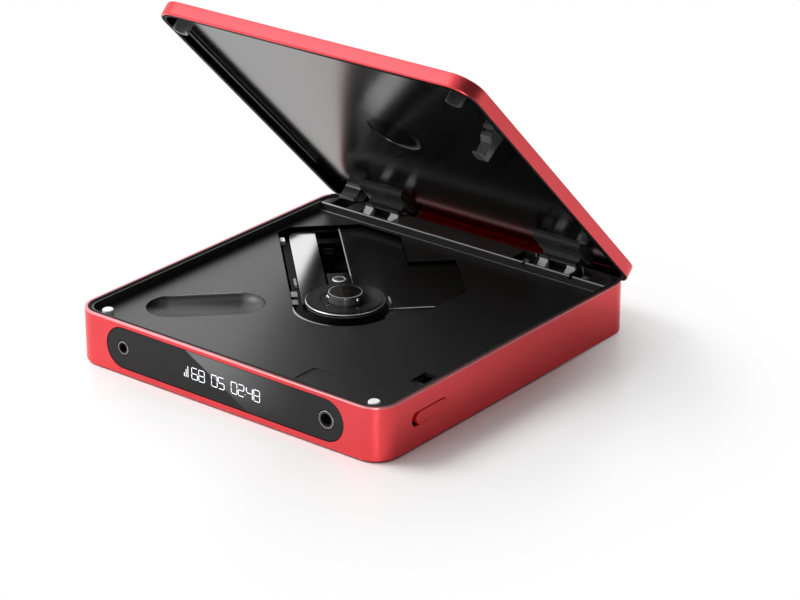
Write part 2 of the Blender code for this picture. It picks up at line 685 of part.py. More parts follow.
def capsule(name, length, width, depth, lower):
    """Lower half of two half balls pulled apart along X, to a depth, with its flat top lowered."""
    form = bmesh.new()
    bmesh.ops.create_uvsphere(form, u_segments=SMALL_ROUND_STEPS, v_segments=SMALL_ROUND_STEPS // 2,
                              radius=width / 2)
    stretch = (length - width) / 2
    turn = Matrix.Rotation(math.pi / SMALL_ROUND_STEPS, 3, "Z")
    for vertex in form.verts:
        vertex.co = turn @ vertex.co
        if abs(vertex.co.x) > MERGE:
            vertex.co.x += math.copysign(stretch, vertex.co.x)
        vertex.co.z *= depth / (width / 2)
    sides = form.verts[:] + form.edges[:] + form.faces[:]
    top = bmesh.ops.bisect_plane(form, geom=sides, plane_co=(0, 0, -lower), plane_no=(0, 0, 1),
                                 clear_outer=True)
    rim = [item for item in top["geom_cut"] if isinstance(item, bmesh.types.BMEdge)]
    bmesh.ops.contextual_create(form, geom=rim)
    bmesh.ops.recalc_face_normals(form, faces=form.faces)
    mesh = bpy.data.meshes.new(name)
    form.to_mesh(mesh)
    form.free()
    return mesh


def make_posts():
    for side, name in ((-1, "left"), (1, "right")):
        profile = [(0, POST_HEIGHT), (POST_RADIUS - SEAM, POST_HEIGHT), (POST_RADIUS, POST_HEIGHT - SEAM),
                   (POST_RADIUS, 0), (0, 0)]
        smooth(turned("lid_rest_" + name, profile, PALE, (side * POST_X, POST_Y, DECK_Z + SEAT),
                      steps=SMALL_ROUND_STEPS))


def hinge_sides():
    return (("left", -HINGE_SPACING / 2), ("right", HINGE_SPACING / 2))


def spring_turn():
    """Angle that the wire runs round the pin, from its foot at the bottom to its leg under the arm."""
    return SPRING_COILS * 2 * math.pi + SPRING_LEG_ANGLE


def spring_places():
    """For each torsion spring: its name, the x of its end at the arm, and the way that it runs from there."""
    centre = HINGE_SPACING / 2
    return (("inner", centre - SPRING_INNER_OFFSET, -1), ("outer", centre + SPRING_OUTER_OFFSET, 1))


def spring_length():
    return SPRING_PITCH * spring_turn() / (2 * math.pi)


def make_hinge_bar():
    """Beam along the rear wall, with a pocket, a lug and supports at each hinge."""
    low = HINGE_Z - BAR_DROP
    gap = WALL + CLEARANCE
    half = WIDTH / 2 - gap
    front = BAR_FRONT_Y
    rear_side = [point for point in inner_outline(gap, MIDDLE) if point[1] > front]
    right_side = [point for point in rear_side if point[0] > 0]
    left_side = [point for point in rear_side if point[0] <= 0]
    outline = [(-half, front), (half, front)] + right_side + left_side
    bar = slab("hinge_bar", [outline], BAR_TOP_Z - low, BLACK, (0, 0, low))
    chamfer(bar, BAR_EDGE)
    pocket_low = HINGE_Z - POCKET_FLOOR
    rear = DEPTH
    tall = BAR_TOP_Z + CUT_OVERRUN
    for side, x in hinge_sides():
        reach = FINGER_SPACING / 2 + FINGER_WIDTH / 2 + CLEARANCE
        outline = rectangle((front + POCKET_FRONT, pocket_low), (rear, tall))
        cut(bar, slab(side + "_pocket_cutter", [outline], 2 * reach, None, (x - reach, 0, 0), ALONG_X))
        base = rectangle((HINGE_Y - LUG_RADIUS, pocket_low - SEAM), (HINGE_Y + LUG_RADIUS, HINGE_Z))
        lug = slab(side + "_lug_base", [base], LUG_WIDTH, None, (x - LUG_WIDTH / 2, 0, 0), ALONG_X)
        join(bar, lug)
        round_end = circle(LUG_RADIUS, centre=(HINGE_Y, HINGE_Z))
        join(bar, slab(side + "_lug_end", [round_end], LUG_WIDTH, None, (x - LUG_WIDTH / 2, 0, 0), ALONG_X))
    tab_reach = TAB_WIDTH / 2 + CLEARANCE
    outline = rectangle((front + POCKET_FRONT, pocket_low), (rear, tall))
    cut(bar, slab("tab_pocket_cutter", [outline], 2 * tab_reach, None, (TAB_X - tab_reach, 0, 0), ALONG_X))
    for name, x, way in spring_places():
        near, far = sorted((x - way * SPRING_PITCH, x + way * (spring_length() + SPRING_PITCH)))
        outline = rectangle((front + POCKET_FRONT, pocket_low), (rear, tall))
        cut(bar, slab(name + "_spring_cutter", [outline], far - near, None, (near, 0, 0), ALONG_X))
        notch = rectangle((front - CUT_OVERRUN, BAR_TOP_Z - SPRING_NOTCH_DEPTH), (HINGE_Y - SPRING_RADIUS, tall))
        cut(bar, slab(name + "_notch_cutter", [notch], SPRING_NOTCH, None, (x - SPRING_NOTCH / 2, 0, 0),
                      ALONG_X))
    for side, x in hinge_sides():
        bore = circle(PIN_RADIUS + CLEARANCE, centre=(HINGE_Y, HINGE_Z))
        low_x, high_x = pin_reach(side, x)
        cut(bar, slab(side + "_bore_cutter", [bore], high_x - low_x + 2 * CLEARANCE, None,
                      (low_x - CLEARANCE, 0, 0), ALONG_X))


def pin_reach(side, x):
    """The hinge pin runs through both fingers into the bar, and on the right through both springs."""
    if side == "left":
        reach = FINGER_SPACING / 2 + FINGER_WIDTH
        return x - reach, x + reach
    ends = [place + way * (spring_length() + 2 * SPRING_PITCH) for name, place, way in spring_places()]
    return min(ends) - PIN_RADIUS, max(ends) + PIN_RADIUS


def make_pins():
    for side, x in hinge_sides():
        low, high = pin_reach(side, x)
        pin = slab("hinge_pin_" + side, [circle(PIN_RADIUS, centre=(HINGE_Y, HINGE_Z))], high - low, STEEL,
                   (low, 0, 0), ALONG_X)
        smooth(pin)


def spring_points(x, way):
    """One wire: a short foot under the pin, the coil about it, and a leg that rises to the open arm."""
    turn = spring_turn()
    start = x + way * spring_length()
    low = HINGE_Z - SPRING_RADIUS
    points = [Vector((start, HINGE_Y - SPRING_FOOT, low)), Vector((start, HINGE_Y - SPRING_WIRE, low))]
    count = round(turn / (2 * math.pi) * SPRING_STEPS)
    for step in range(count + 1):
        angle = turn * step / count - math.pi / 2
        along = start + (x - start) * step / count
        points.append(Vector((along, HINGE_Y + SPRING_RADIUS * math.cos(angle),
                              HINGE_Z + SPRING_RADIUS * math.sin(angle))))
    leg = Vector((0, math.cos(SPRING_LEG_ANGLE), math.sin(SPRING_LEG_ANGLE)))
    last = points[-1]
    return points + [last + leg * SPRING_WIRE, last + leg * SPRING_LEG]


def least_gap(points, wire):
    """Smallest clear distance between lengths of one wire that aren't neighbours on it."""
    least = WIDTH
    for index, first in enumerate(points):
        travelled = 0
        for other in range(index + 1, len(points)):
            travelled += (points[other] - points[other - 1]).length
            if travelled > 3 * wire:
                least = min(least, (points[other] - first).length - wire)
    return least


def wire_part(name, points, wire, look, parent=player, resolution=1):
    data = bpy.data.curves.new(name, "CURVE")
    data.dimensions = "3D"
    data.bevel_depth = wire / 2
    data.bevel_resolution = resolution
    data.use_fill_caps = True
    spline = data.splines.new("POLY")
    spline.points.add(len(points) - 1)
    for point, place in zip(spline.points, points):
        point.co = (*place, 1)
    holder = bpy.data.objects.new(name + "_route", data)
    parts.objects.link(holder)
    graph = bpy.context.evaluated_depsgraph_get()
    mesh = bpy.data.meshes.new_from_object(holder.evaluated_get(graph))
    bpy.data.objects.remove(holder)
    bpy.data.curves.remove(data)
    form = bmesh.new()
    form.from_mesh(mesh)
    bmesh.ops.remove_doubles(form, verts=form.verts, dist=MERGE)
    bmesh.ops.recalc_face_normals(form, faces=form.faces)
    form.to_mesh(mesh)
    form.free()
    made = add(name, mesh, look, parent)
    smooth(made)
    return made


def make_springs():
    for name, x, way in spring_places():
        points = spring_points(x, way)
        wire_part("torsion_spring_" + name, points, SPRING_WIRE, STEEL)
        print("torsion_spring_%s least gap to itself: %.2f mm" % (name, least_gap(points, SPRING_WIRE) / MM))


def make_lid():
    """Red lid shell and its black liner, with everything that the liner carries."""
    middle = (0, DEPTH / 2 - HINGE_Y)
    base = LID_RIM_Z - HINGE_Z
    shell = slab("lid_shell", [inner_outline(0, middle)], LID_HEIGHT, RED, (0, 0, base), parent=lid_axis)
    chamfer(shell, LID_EDGE, 2)
    deep = LID_HEIGHT - LID_SKIN
    hollow = slab("lid_cutter", [inner_outline(LID_WALL, middle)], deep + CUT_OVERRUN, None,
                  (0, 0, base - CUT_OVERRUN), parent=lid_axis)
    cut(shell, hollow)
    smooth(shell)
    gap = LID_WALL + CLEARANCE
    liner_height = LID_HEIGHT - LID_SKIN - CLEARANCE
    liner = slab("lid_liner", [inner_outline(gap, middle)], liner_height, BLACK, (0, 0, base),
                 parent=lid_axis)
    cut(liner, slab("liner_cutter", [inner_outline(WALL, middle)], LINER_DEPTH + CUT_OVERRUN, None,
                    (0, 0, base - CUT_OVERRUN), parent=lid_axis))
    dimple = circle(HUB_DIMPLE_RADIUS, ROUND_STEPS, (HUB_X, HUB_Y - HINGE_Y))
    cut(liner, slab("dimple_cutter", [dimple], LINER_DEPTH + HUB_DIMPLE_DEPTH + CUT_OVERRUN, None,
                    (0, 0, base - CUT_OVERRUN), parent=lid_axis))


def make_arms():
    """Each arm is a pad on the liner with two goose-neck fingers that turn about the hinge pin."""
    under = LINER_Z - HINGE_Z - SEAT
    for side, x in hinge_sides():
        pad_front = -ARM_PAD_LENGTH
        pad_low = under - ARM_PAD_THICKNESS
        outline = [(pad_front, under), (pad_front, under - ARM_PAD_THICKNESS / 2),
                   (pad_front + ARM_PAD_SLOPE, pad_low), (-ARM_BLOCK_FRONT - ARM_PAD_SLOPE, pad_low),
                   (-ARM_BLOCK_FRONT, FINGER_OUTER + CLEARANCE), (ARM_BLOCK_REAR, FINGER_OUTER + CLEARANCE),
                   (ARM_BLOCK_REAR, under)]
        arm = slab("hinge_arm_" + side, [outline], ARM_PAD_WIDTH, BLACK, (x - ARM_PAD_WIDTH / 2, 0, 0),
                   ALONG_X, lid_axis)
        neck = slab(side + "_neck", [neck_outline(under, NECK_END_ANGLE)], FINGER_SPACING + FINGER_WIDTH, None,
                    (x - (FINGER_SPACING + FINGER_WIDTH) / 2, 0, 0), ALONG_X, lid_axis)
        join(arm, neck)
        for end in (-1, 1):
            low = x + end * FINGER_SPACING / 2 - FINGER_WIDTH / 2
            join(arm, slab("%s_finger_%d" % (side, end), [finger_outline(under)], FINGER_WIDTH, None,
                           (low, 0, 0), ALONG_X, lid_axis))
        bore = circle(PIN_RADIUS + CLEARANCE)
        cut(arm, slab(side + "_arm_bore_cutter", [bore], ARM_PAD_WIDTH, None, (x - ARM_PAD_WIDTH / 2, 0, 0),
                      ALONG_X, lid_axis))


def neck_outline(under, end):
    """Side view about the hinge axis of a neck that comes down from the liner and round to an angle."""
    rear = math.acos(ARM_BLOCK_REAR / FINGER_INNER)
    front = math.acos(-ARM_BLOCK_FRONT / FINGER_OUTER)
    return ([(-ARM_BLOCK_FRONT, under)] + arc((0, 0), FINGER_OUTER, front, end)
            + arc((0, 0), FINGER_INNER, end, rear) + [(ARM_BLOCK_REAR, under)])


def finger_outline(under):
    """Side view about the hinge axis: down from the liner, round the neck and knuckle, and in to the boss."""
    neck_rear = math.acos(ARM_BLOCK_REAR / FINGER_INNER)
    neck_front = math.acos(-ARM_BLOCK_FRONT / FINGER_OUTER)
    end = FINGER_END_ANGLE
    boss_turn = math.asin(FINGER_LEG / FINGER_BOSS)
    outer = arc((0, 0), FINGER_OUTER, neck_front, end)
    knuckle = arc((0, 0), FINGER_KNUCKLE, KNUCKLE_START, KNUCKLE_END)
    boss = arc((0, 0), FINGER_BOSS, KNUCKLE_END + boss_turn, end + 2 * math.pi - boss_turn, 2 * ARC_STEPS)
    along = Vector((math.cos(end), math.sin(end)))
    across = Vector((-along.y, along.x))
    root = [tuple(along * (FINGER_INNER - FINGER_LEG / 3) - across * FINGER_LEG)]
    inner = arc((0, 0), FINGER_INNER, end - FINGER_BEND, neck_rear)
    return [(-ARM_BLOCK_FRONT, under)] + outer + knuckle + boss + root + inner + [(ARM_BLOCK_REAR, under)]


def make_edge_tab():
    """Curved tab at the left that closes the gap above the bar."""
    outline = neck_outline(LINER_Z - HINGE_Z - SEAT, FINGER_END_ANGLE)
    slab("edge_tab", [outline], TAB_WIDTH, BLACK, (TAB_X - TAB_WIDTH / 2, 0, 0), ALONG_X, lid_axis)


def make_latch_hook():
    """Hook with two teeth on its front side, under the liner at the right."""
    top = LINER_Z - HINGE_Z - SEAT
    rear = LATCH_Y + HOOK_POST - HINGE_Y
    front = rear - HOOK_POST
    tip = top - HOOK_LENGTH
    tooth = front - HOOK_TOOTH
    second = top - HOOK_LENGTH / 2
    root = front - HOOK_ROOT
    outline = [(rear + HOOK_ROOT / 2, top), (root, top), (root, top - HOOK_ROOT / 2),
               (front, top - HOOK_ROOT / 2), (front, second + HOOK_ROOT), (tooth, second + HOOK_ROOT),
               (tooth, second + HOOK_ROOT / 2), (front, second), (front, tip + HOOK_TOOTH_HEIGHT),
               (tooth, tip + HOOK_TOOTH_HEIGHT), (tooth, tip + HOOK_TOOTH_HEIGHT / 2), (front, tip),
               (rear - HOOK_TOOTH_HEIGHT, tip), (rear, second)]
    slab("latch_hook", [outline], HOOK_WIDTH, BLACK, (LATCH_X - HOOK_WIDTH / 2, 0, 0), ALONG_X, lid_axis)


def make_lid_cups():
    """Half tubes under the liner that stand round the lid rests when the lid is shut."""
    height = LINER_DEPTH + CUP_REACH
    for side, name in ((-1, "left"), (1, "right")):
        centre = (side * POST_X, POST_Y - HINGE_Y)
        facing = math.pi / 2
        outer = arc(centre, CUP_RADIUS, facing - math.pi / 2, facing + math.pi / 2)
        inner = arc(centre, CUP_RADIUS - CUP_WALL, facing + math.pi / 2, facing - math.pi / 2)
        slab("rest_cup_" + name, [outer + inner], height, BLACK,
             (0, 0, LINER_Z - HINGE_Z - SEAT - height), parent=lid_axis)
    profile = [(0, STUD_HEIGHT), (STUD_RADIUS, STUD_HEIGHT), (STUD_RADIUS - SEAM, 0), (0, 0)]
    smooth(turned("lid_stud", profile, BLACK, in_lid(STUD_X, STUD_Y, LINER_Z - SEAT - STUD_HEIGHT),
                  parent=lid_axis, steps=SMALL_ROUND_STEPS))


def jack_places():
    rise = FOOT_HEIGHT + WINDOW_RISE
    return (("jack_small", -JACK_SPACING / 2, rise, SMALL_JACK_RING, SMALL_JACK_BORE),
            ("jack_large", JACK_SPACING / 2, rise, LARGE_JACK_RING, LARGE_JACK_BORE))


def make_front():
    """Window with two jack holes, the jacks and the display behind it."""
    rise = FOOT_HEIGHT + WINDOW_RISE
    outlines = [pill(WINDOW_LENGTH, WINDOW_HEIGHT, centre=(0, rise))]
    for name, x, z, ring, bore in jack_places():
        outlines.append(circle(ring + CLEARANCE, centre=(x, z)))
    window_rear = WINDOW_RECESS + WINDOW_THICKNESS
    slab("front_window", outlines, WINDOW_THICKNESS, GLASS, (0, window_rear, 0), ALONG_MINUS_Y)
    for name, x, z, ring, bore in jack_places():
        flange = ring + JACK_FLANGE
        behind = window_rear + CLEARANCE
        bottom = JACK_FLANGE - JACK_DEPTH
        profile = [(0, bottom), (bore, bottom), (bore, 0), (ring - JACK_LIP, 0), (ring, -JACK_LIP),
                   (ring, -behind), (flange, -behind), (flange, -JACK_DEPTH), (0, -JACK_DEPTH)]
        smooth(turned(name, profile, STEEL, (x, WINDOW_RECESS, z), (math.pi / 2, 0, 0),
                      steps=SMALL_ROUND_STEPS))
    panel = rounded(DISPLAY_LENGTH, DISPLAY_HEIGHT, DISPLAY_CORNER, 2, (0, rise))
    slab("display_module", [panel], DISPLAY_THICKNESS, BLACK,
         (0, window_rear + CLEARANCE + DISPLAY_THICKNESS, 0), ALONG_MINUS_Y)


def make_slider():
    """Knob in the right wall, and the latch plate that it carries behind the wall."""
    neck = WALL + CLEARANCE
    knob_y = (SLIDER_SLOT_LENGTH - SLIDER_LENGTH) / 2 - CLEARANCE
    outline = pill(SLIDER_LENGTH, SLIDER_HEIGHT, centre=(knob_y, 0))
    knob = slab("open_slider", [outline], neck + SLIDER_PROUD, RED, (-neck, 0, 0), ALONG_X, slider_axis)
    chamfer(knob, SLIDER_PROUD / 2, 2)
    knob_z = FOOT_HEIGHT + SLIDER_RISE
    plate_top = DECK_UNDER_Z - CLEARANCE - knob_z
    plate_low = plate_top - LATCH_PLATE
    leg_x = -neck - CLEARANCE - LATCH_LEG
    leg_low = -SLIDER_HEIGHT / 2
    left = leg_x - LATCH_PLATE_WIDTH
    right = leg_x + LATCH_LEG
    profile = [(left, plate_low), (leg_x, plate_low), (leg_x, leg_low), (right, leg_low), (right, plate_top),
               (left, plate_top)]
    rear = LATCH_Y - SLIDER_Y + LATCH_PLATE_REAR
    length = rear + LATCH_PLATE_FRONT
    plate = slab("latch_plate", [profile], length, STEEL, (0, rear, 0), ALONG_MINUS_Y, slider_axis)
    edge = LATCH_Y - SLIDER_Y - CLEARANCE
    x = LATCH_X - WIDTH / 2
    window = rectangle((x - HOOK_WIDTH / 2 - 2 * CLEARANCE, edge),
                       (x + HOOK_WIDTH / 2 + 2 * CLEARANCE, edge + HOOK_POST + SLIDER_TRAVEL + 2 * CLEARANCE))
    cut(plate, slab("latch_window_cutter", [window], LATCH_PLATE + 2 * CUT_OVERRUN, None,
                    (0, 0, plate_low - CUT_OVERRUN), parent=slider_axis))


def make_keys():
    """Five keys in the left wall, each on an empty at its place, and the board that they press on."""
    inside = WALL + CLEARANCE
    for index, name in enumerate(KEY_NAMES):
        y, z = key_place(index)
        axis = empty(name + "_key_slide", (-WIDTH / 2, y, z), parent=player)
        outline = pill(KEY_LENGTH, KEY_HEIGHT, CORNER_STEPS // 2)
        key = slab("key_" + name, [outline], inside + SLIDER_PROUD, RED, (-SLIDER_PROUD, 0, 0), ALONG_X, axis)
        chamfer(key, SLIDER_PROUD / 2)
    y_low = key_place(0)[0] - KEY_LENGTH
    y_high = key_place(len(KEY_NAMES) - 1)[0] + KEY_LENGTH
    z = FOOT_HEIGHT + SLIDER_RISE
    outline = rectangle((y_low, z - KEY_BOARD_HEIGHT / 2), (y_high, z + KEY_BOARD_HEIGHT / 2))
    board_x = -WIDTH / 2 + inside + KEY_TRAVEL + CLEARANCE
    slab("key_board", [outline], KEY_BOARD, BOARD, (board_x, 0, 0), ALONG_X)


def make_turntable():
    """Platter and hub that hold the disc by three sprung balls."""
    top = PLATTER_Z
    rim_low = top - PLATTER_THICKNESS
    boss_low = rim_low - PLATTER_EDGE * 2
    shaft_low = CHASSIS_Z + CLEARANCE
    profile = [(0, top), (MAT_INNER, top), (MAT_INNER, top - MAT_GROOVE), (MAT_OUTER, top - MAT_GROOVE),
               (MAT_OUTER, top), (PLATTER_RADIUS - PLATTER_EDGE, top), (PLATTER_RADIUS, top - PLATTER_EDGE),
               (PLATTER_RADIUS, rim_low), (PLATTER_BOSS, rim_low), (PLATTER_BOSS, boss_low),
               (SHAFT_RADIUS, boss_low), (SHAFT_RADIUS, shaft_low), (0, shaft_low)]
    smooth(turned("platter", profile, GLOSS, parent=turntable_axis))
    mat_top = top + MAT_PROUD
    mat_low = top - MAT_GROOVE + SEAT
    outer = MAT_OUTER - SEAM
    inner = MAT_INNER + SEAM
    profile = [(inner, mat_top), (outer, mat_top), (outer, mat_low), (inner, mat_low)]
    turned("platter_mat", profile, RUBBER, parent=turntable_axis, ring=True)
    low = top + SEAT
    high = top + HUB_HEIGHT
    profile = [(0, high - HUB_DIMPLE / 3), (HUB_DIMPLE, high - HUB_DIMPLE / 3), (HUB_DIMPLE_MOUTH, high),
               (HUB_RADIUS - HUB_CAP_EDGE, high), (HUB_RADIUS - HUB_CAP_EDGE / 4, high - HUB_CAP_EDGE / 4),
               (HUB_RADIUS, high - HUB_CAP_EDGE), (HUB_RADIUS, low), (0, low)]
    hub = turned("hub_cap", profile, BLACK, parent=turntable_axis)
    smooth(hub)
    ball_z = top + HUB_HEIGHT / 2
    for index in range(BALL_COUNT):
        angle = BALL_FIRST_ANGLE + index * 2 * math.pi / BALL_COUNT
        reach = BALL_REACH - BALL_RADIUS
        place = (reach * math.cos(angle), reach * math.sin(angle), ball_z)
        socket = bmesh.new()
        bmesh.ops.create_uvsphere(socket, u_segments=SMALL_ROUND_STEPS // 2, v_segments=CORNER_STEPS,
                                  radius=BALL_RADIUS + CLEARANCE)
        mesh = bpy.data.meshes.new("ball_socket")
        socket.to_mesh(mesh)
        socket.free()
        cut(hub, add("ball_socket_cutter_%d" % (index + 1), mesh, None, turntable_axis, place))
        ball = bmesh.new()
        bmesh.ops.create_uvsphere(ball, u_segments=SMALL_ROUND_STEPS // 2, v_segments=CORNER_STEPS,
                                  radius=BALL_RADIUS)
        mesh = bpy.data.meshes.new("chuck_ball")
        ball.to_mesh(mesh)
        ball.free()
        smooth(add("chuck_ball_%d" % (index + 1), mesh, STEEL, turntable_axis, place))


def make_mechanism_cover():
    """Glossy plate seen through the deck's opening, with the well and the pickup's slot."""
    outline = opening_outline(PLATE_OVERLAP, PLATE_LEFT)
    low = PLATE_Z - PLATE_THICKNESS
    plate = slab("mechanism_cover", [outline], PLATE_THICKNESS, GLOSS, (0, 0, low))
    depth = PLATE_THICKNESS + 2 * CUT_OVERRUN
    cut(plate, slab("plate_well_cutter", [circle(PLATE_WELL, ROUND_STEPS, (HUB_X, HUB_Y))], depth, None,
                    (0, 0, low - CUT_OVERRUN)))
    slot = rectangle((-SLOT_WIDTH / 2, SLOT_START), (SLOT_WIDTH / 2, SLOT_END))
    cut(plate, slab("plate_slot_cutter", [slot], depth, None, (0, 0, low - CUT_OVERRUN), parent=mechanism))


def make_chassis():
    """Frame that carries the motors, rods and pickup, on three rubber grommets."""
    low = CHASSIS_Z - CHASSIS_THICKNESS
    length = CHASSIS_REAR + CHASSIS_FRONT
    middle = (0, (CHASSIS_REAR - CHASSIS_FRONT) / 2)
    frame = rounded(2 * CHASSIS_HALF, length, CHASSIS_CORNER, 3, middle)
    bay = rectangle((-SLED_BAY_HALF, SLED_BAY_START), (SLED_BAY_HALF, SLED_BAY_END))
    chassis = slab("chassis", [frame, bay], CHASSIS_THICKNESS, BLACK, (0, 0, low), parent=mechanism)
    drop = low - ROD_RISE + HOLDER_DROP + SEAM
    places = [(side, v) for side in (-1, 1) for v in (SLED_BAY_START - HOLDER_LENGTH, SLED_BAY_END)]
    for index, (side, v) in enumerate(places):
        x = side * ROD_OFFSET
        block = rectangle((x - HOLDER_WIDTH / 2, v), (x + HOLDER_WIDTH / 2, v + HOLDER_LENGTH))
        join(chassis, slab("rod_holder_%d" % index, [block], drop, None, (0, 0, ROD_RISE - HOLDER_DROP),
                           parent=mechanism))
    for side, radius in ((-1, ROD_RADIUS), (1, SCREW_SHAFT_RADIUS)):
        bore = circle(radius + CLEARANCE, centre=(side * ROD_OFFSET, ROD_RISE))
        cut(chassis, slab("rod_bore_cutter_%d" % side, [bore], length, None, (0, CHASSIS_REAR, 0),
                          ALONG_MINUS_Y, mechanism))
    shaft_hole = circle(SHAFT_RADIUS + 2 * CLEARANCE)
    cut(chassis, slab("shaft_hole_cutter", [shaft_hole], CHASSIS_THICKNESS + 2 * CUT_OVERRUN, None,
                      (0, 0, low - CUT_OVERRUN), parent=mechanism))
    start = SLED_BAY_START - HOLDER_LENGTH
    end = SLED_BAY_END + HOLDER_LENGTH
    rod = slab("guide_rod", [circle(ROD_RADIUS, centre=(-ROD_OFFSET, ROD_RISE))], end - start, STEEL,
               (0, end, 0), ALONG_MINUS_Y, mechanism)
    smooth(rod)
    for index, (u, v) in enumerate(GROMMET_PLACES):
        half = GROMMET_HEIGHT / 2
        profile = [(0, half), (GROMMET_RADIUS, half), (GROMMET_RADIUS, half / 2), (GROMMET_WAIST, 0),
                   (GROMMET_RADIUS, -half / 2), (GROMMET_RADIUS, -half), (0, -half)]
        smooth(turned("grommet_%d" % (index + 1), profile, RUBBER, (u, v, low - CLEARANCE - half),
                      parent=mechanism, steps=SMALL_ROUND_STEPS))


def make_motors():
    top = CHASSIS_Z - CHASSIS_THICKNESS - CLEARANCE
    bottom = top - MOTOR_HEIGHT
    edge = MOTOR_RADIUS / 10
    profile = [(0, top), (MOTOR_RADIUS - edge, top), (MOTOR_RADIUS, top - edge),
               (MOTOR_RADIUS, bottom + edge), (MOTOR_RADIUS - edge, bottom), (0, bottom)]
    smooth(turned("spindle_motor", profile, STEEL, parent=mechanism))
    radius = FEED_MOTOR_RADIUS
    end = SLED_BAY_START - HOLDER_LENGTH - CLEARANCE
    profile = [(0, 0), (radius - SEAM, 0), (radius, -SEAM), (radius, -FEED_MOTOR_LENGTH + SEAM),
               (radius - SEAM, -FEED_MOTOR_LENGTH), (0, -FEED_MOTOR_LENGTH)]
    smooth(turned("feed_motor", profile, STEEL, (ROD_OFFSET, end, ROD_RISE), (-math.pi / 2, 0, 0), mechanism,
                  SMALL_ROUND_STEPS))
    length = SLED_BAY_END + HOLDER_LENGTH - end - CLEARANCE
    lead = slab("lead_screw", [circle(SCREW_SHAFT_RADIUS)], length, STEEL, (0, end + CLEARANCE + length, 0),
                ALONG_MINUS_Y, screw_axis)
    smooth(lead)


def make_pickup():
    """Sled on the guide rod and lead screw, with the lens in its holder."""
    half_length = SLED_LENGTH / 2
    block = rounded(2 * SLED_HALF, SLED_LENGTH, SLED_EAR, 3)
    sled = slab("pickup_sled", [block], SLED_TOP - SLED_BOTTOM, BLACK, (0, 0, SLED_BOTTOM),
                parent=pickup_axis)
    for side, radius in ((-1, ROD_RADIUS), (1, SCREW_SHAFT_RADIUS)):
        x = side * ROD_OFFSET
        low_x, high_x = sorted((side * (SLED_HALF - SEAM), x + side * (radius + CLEARANCE + SEAM)))
        low = ROD_RISE - SLED_EAR
        ear = rectangle((low_x, -SLED_EAR_LENGTH / 2), (high_x, SLED_EAR_LENGTH / 2))
        join(sled, slab("sled_ear_%d" % side, [ear], 2 * SLED_EAR, None, (0, 0, low), parent=pickup_axis))
        bore = circle(radius + CLEARANCE, centre=(x, ROD_RISE))
        cut(sled, slab("sled_bore_cutter_%d" % side, [bore], SLED_LENGTH + 2 * CUT_OVERRUN, None,
                       (0, half_length + CUT_OVERRUN, 0), ALONG_MINUS_Y, pickup_axis))
    holder = slab("lens_holder", [rounded(2 * LENS_HOLDER_HALF, LENS_HOLDER_LENGTH, 2 * SEAM, 2)],
                  LENS_HOLDER_TOP - SLED_TOP - SEAT, GLOSS, (0, 0, SLED_TOP + SEAT), parent=pickup_axis)
    seat = circle(LENS_RADIUS + SEAM)
    cut(holder, slab("lens_seat_cutter", [seat], LENS_SEAT + CUT_OVERRUN, None,
                     (0, 0, LENS_HOLDER_TOP - LENS_SEAT), parent=pickup_axis))
    ring_top = LENS_HOLDER_TOP + SEAM
    ring_low = LENS_HOLDER_TOP + SEAT
    profile = [(LENS_RADIUS + SEAM, ring_top), (LENS_RING_RADIUS - SEAM, ring_top),
               (LENS_RING_RADIUS, ring_low), (LENS_RADIUS + SEAM, ring_low)]
    smooth(turned("lens_ring", profile, STEEL, parent=pickup_axis, steps=SMALL_ROUND_STEPS, ring=True))
    low = LENS_HOLDER_TOP - LENS_SEAT + SEAT
    profile = [(LENS_RADIUS * math.sin(turn), low + LENS_SEAT + LENS_DOME * math.cos(turn))
               for turn in (step * math.pi / 2 / CORNER_STEPS for step in range(CORNER_STEPS + 1))]
    profile[0] = (0, low + LENS_SEAT + LENS_DOME)
    profile += [(LENS_RADIUS, low), (0, low)]
    smooth(turned("objective_lens", profile, LENS, parent=pickup_axis, steps=SMALL_ROUND_STEPS))


def make_electrics():
    """Main board, battery, charging socket and its own small board."""
    base = FOOT_HEIGHT + BOARD_RISE
    board = rectangle((-BOARD_WIDTH / 2, BOARD_FRONT), (BOARD_WIDTH / 2, BOARD_REAR))
    slab("main_board", [board], BOARD_THICKNESS, BOARD, (0, 0, base))
    outline = rounded(BATTERY_WIDTH, BATTERY_LENGTH, BATTERY_EDGE, 3, (BATTERY_X, BATTERY_Y))
    battery = slab("battery", [outline], BATTERY_HEIGHT, CELL, (0, 0, COVER_Z + CLEARANCE))
    chamfer(battery, BATTERY_EDGE / 3)
    rise = FOOT_HEIGHT + SOCKET_RISE
    outer = pill(SOCKET_LENGTH, SOCKET_HEIGHT, centre=(0, rise))
    socket = slab("charging_socket", [outer], SOCKET_DEPTH, STEEL, (0, DEPTH - CLEARANCE, 0), ALONG_MINUS_Y)
    inner = pill(SOCKET_LENGTH - 2 * SOCKET_WALL, SOCKET_HEIGHT - 2 * SOCKET_WALL, centre=(0, rise))
    deep = SOCKET_DEPTH - SOCKET_WALL
    cut(socket, slab("socket_mouth_cutter", [inner], deep + CUT_OVERRUN, None,
                     (0, DEPTH - CLEARANCE + CUT_OVERRUN, 0), ALONG_MINUS_Y))
    rear = DEPTH - WALL - CLEARANCE
    low = rise - SOCKET_HEIGHT / 2 - CLEARANCE - BOARD_THICKNESS
    carrier = rectangle((-SOCKET_BOARD_LENGTH / 2, rear - SOCKET_BOARD_DEPTH),
                        (SOCKET_BOARD_LENGTH / 2, rear))
    slab("charging_board", [carrier], BOARD_THICKNESS, BOARD, (0, 0, low))


make_body_shell()
make_bottom()
make_deck()
make_posts()
make_hinge_bar()
make_pins()
make_springs()
make_lid()
make_arms()
make_edge_tab()
make_latch_hook()
make_lid_cups()
make_front()
make_slider()
make_keys()
make_turntable()
make_mechanism_cover()
make_chassis()
make_motors()
make_pickup()
make_electrics()
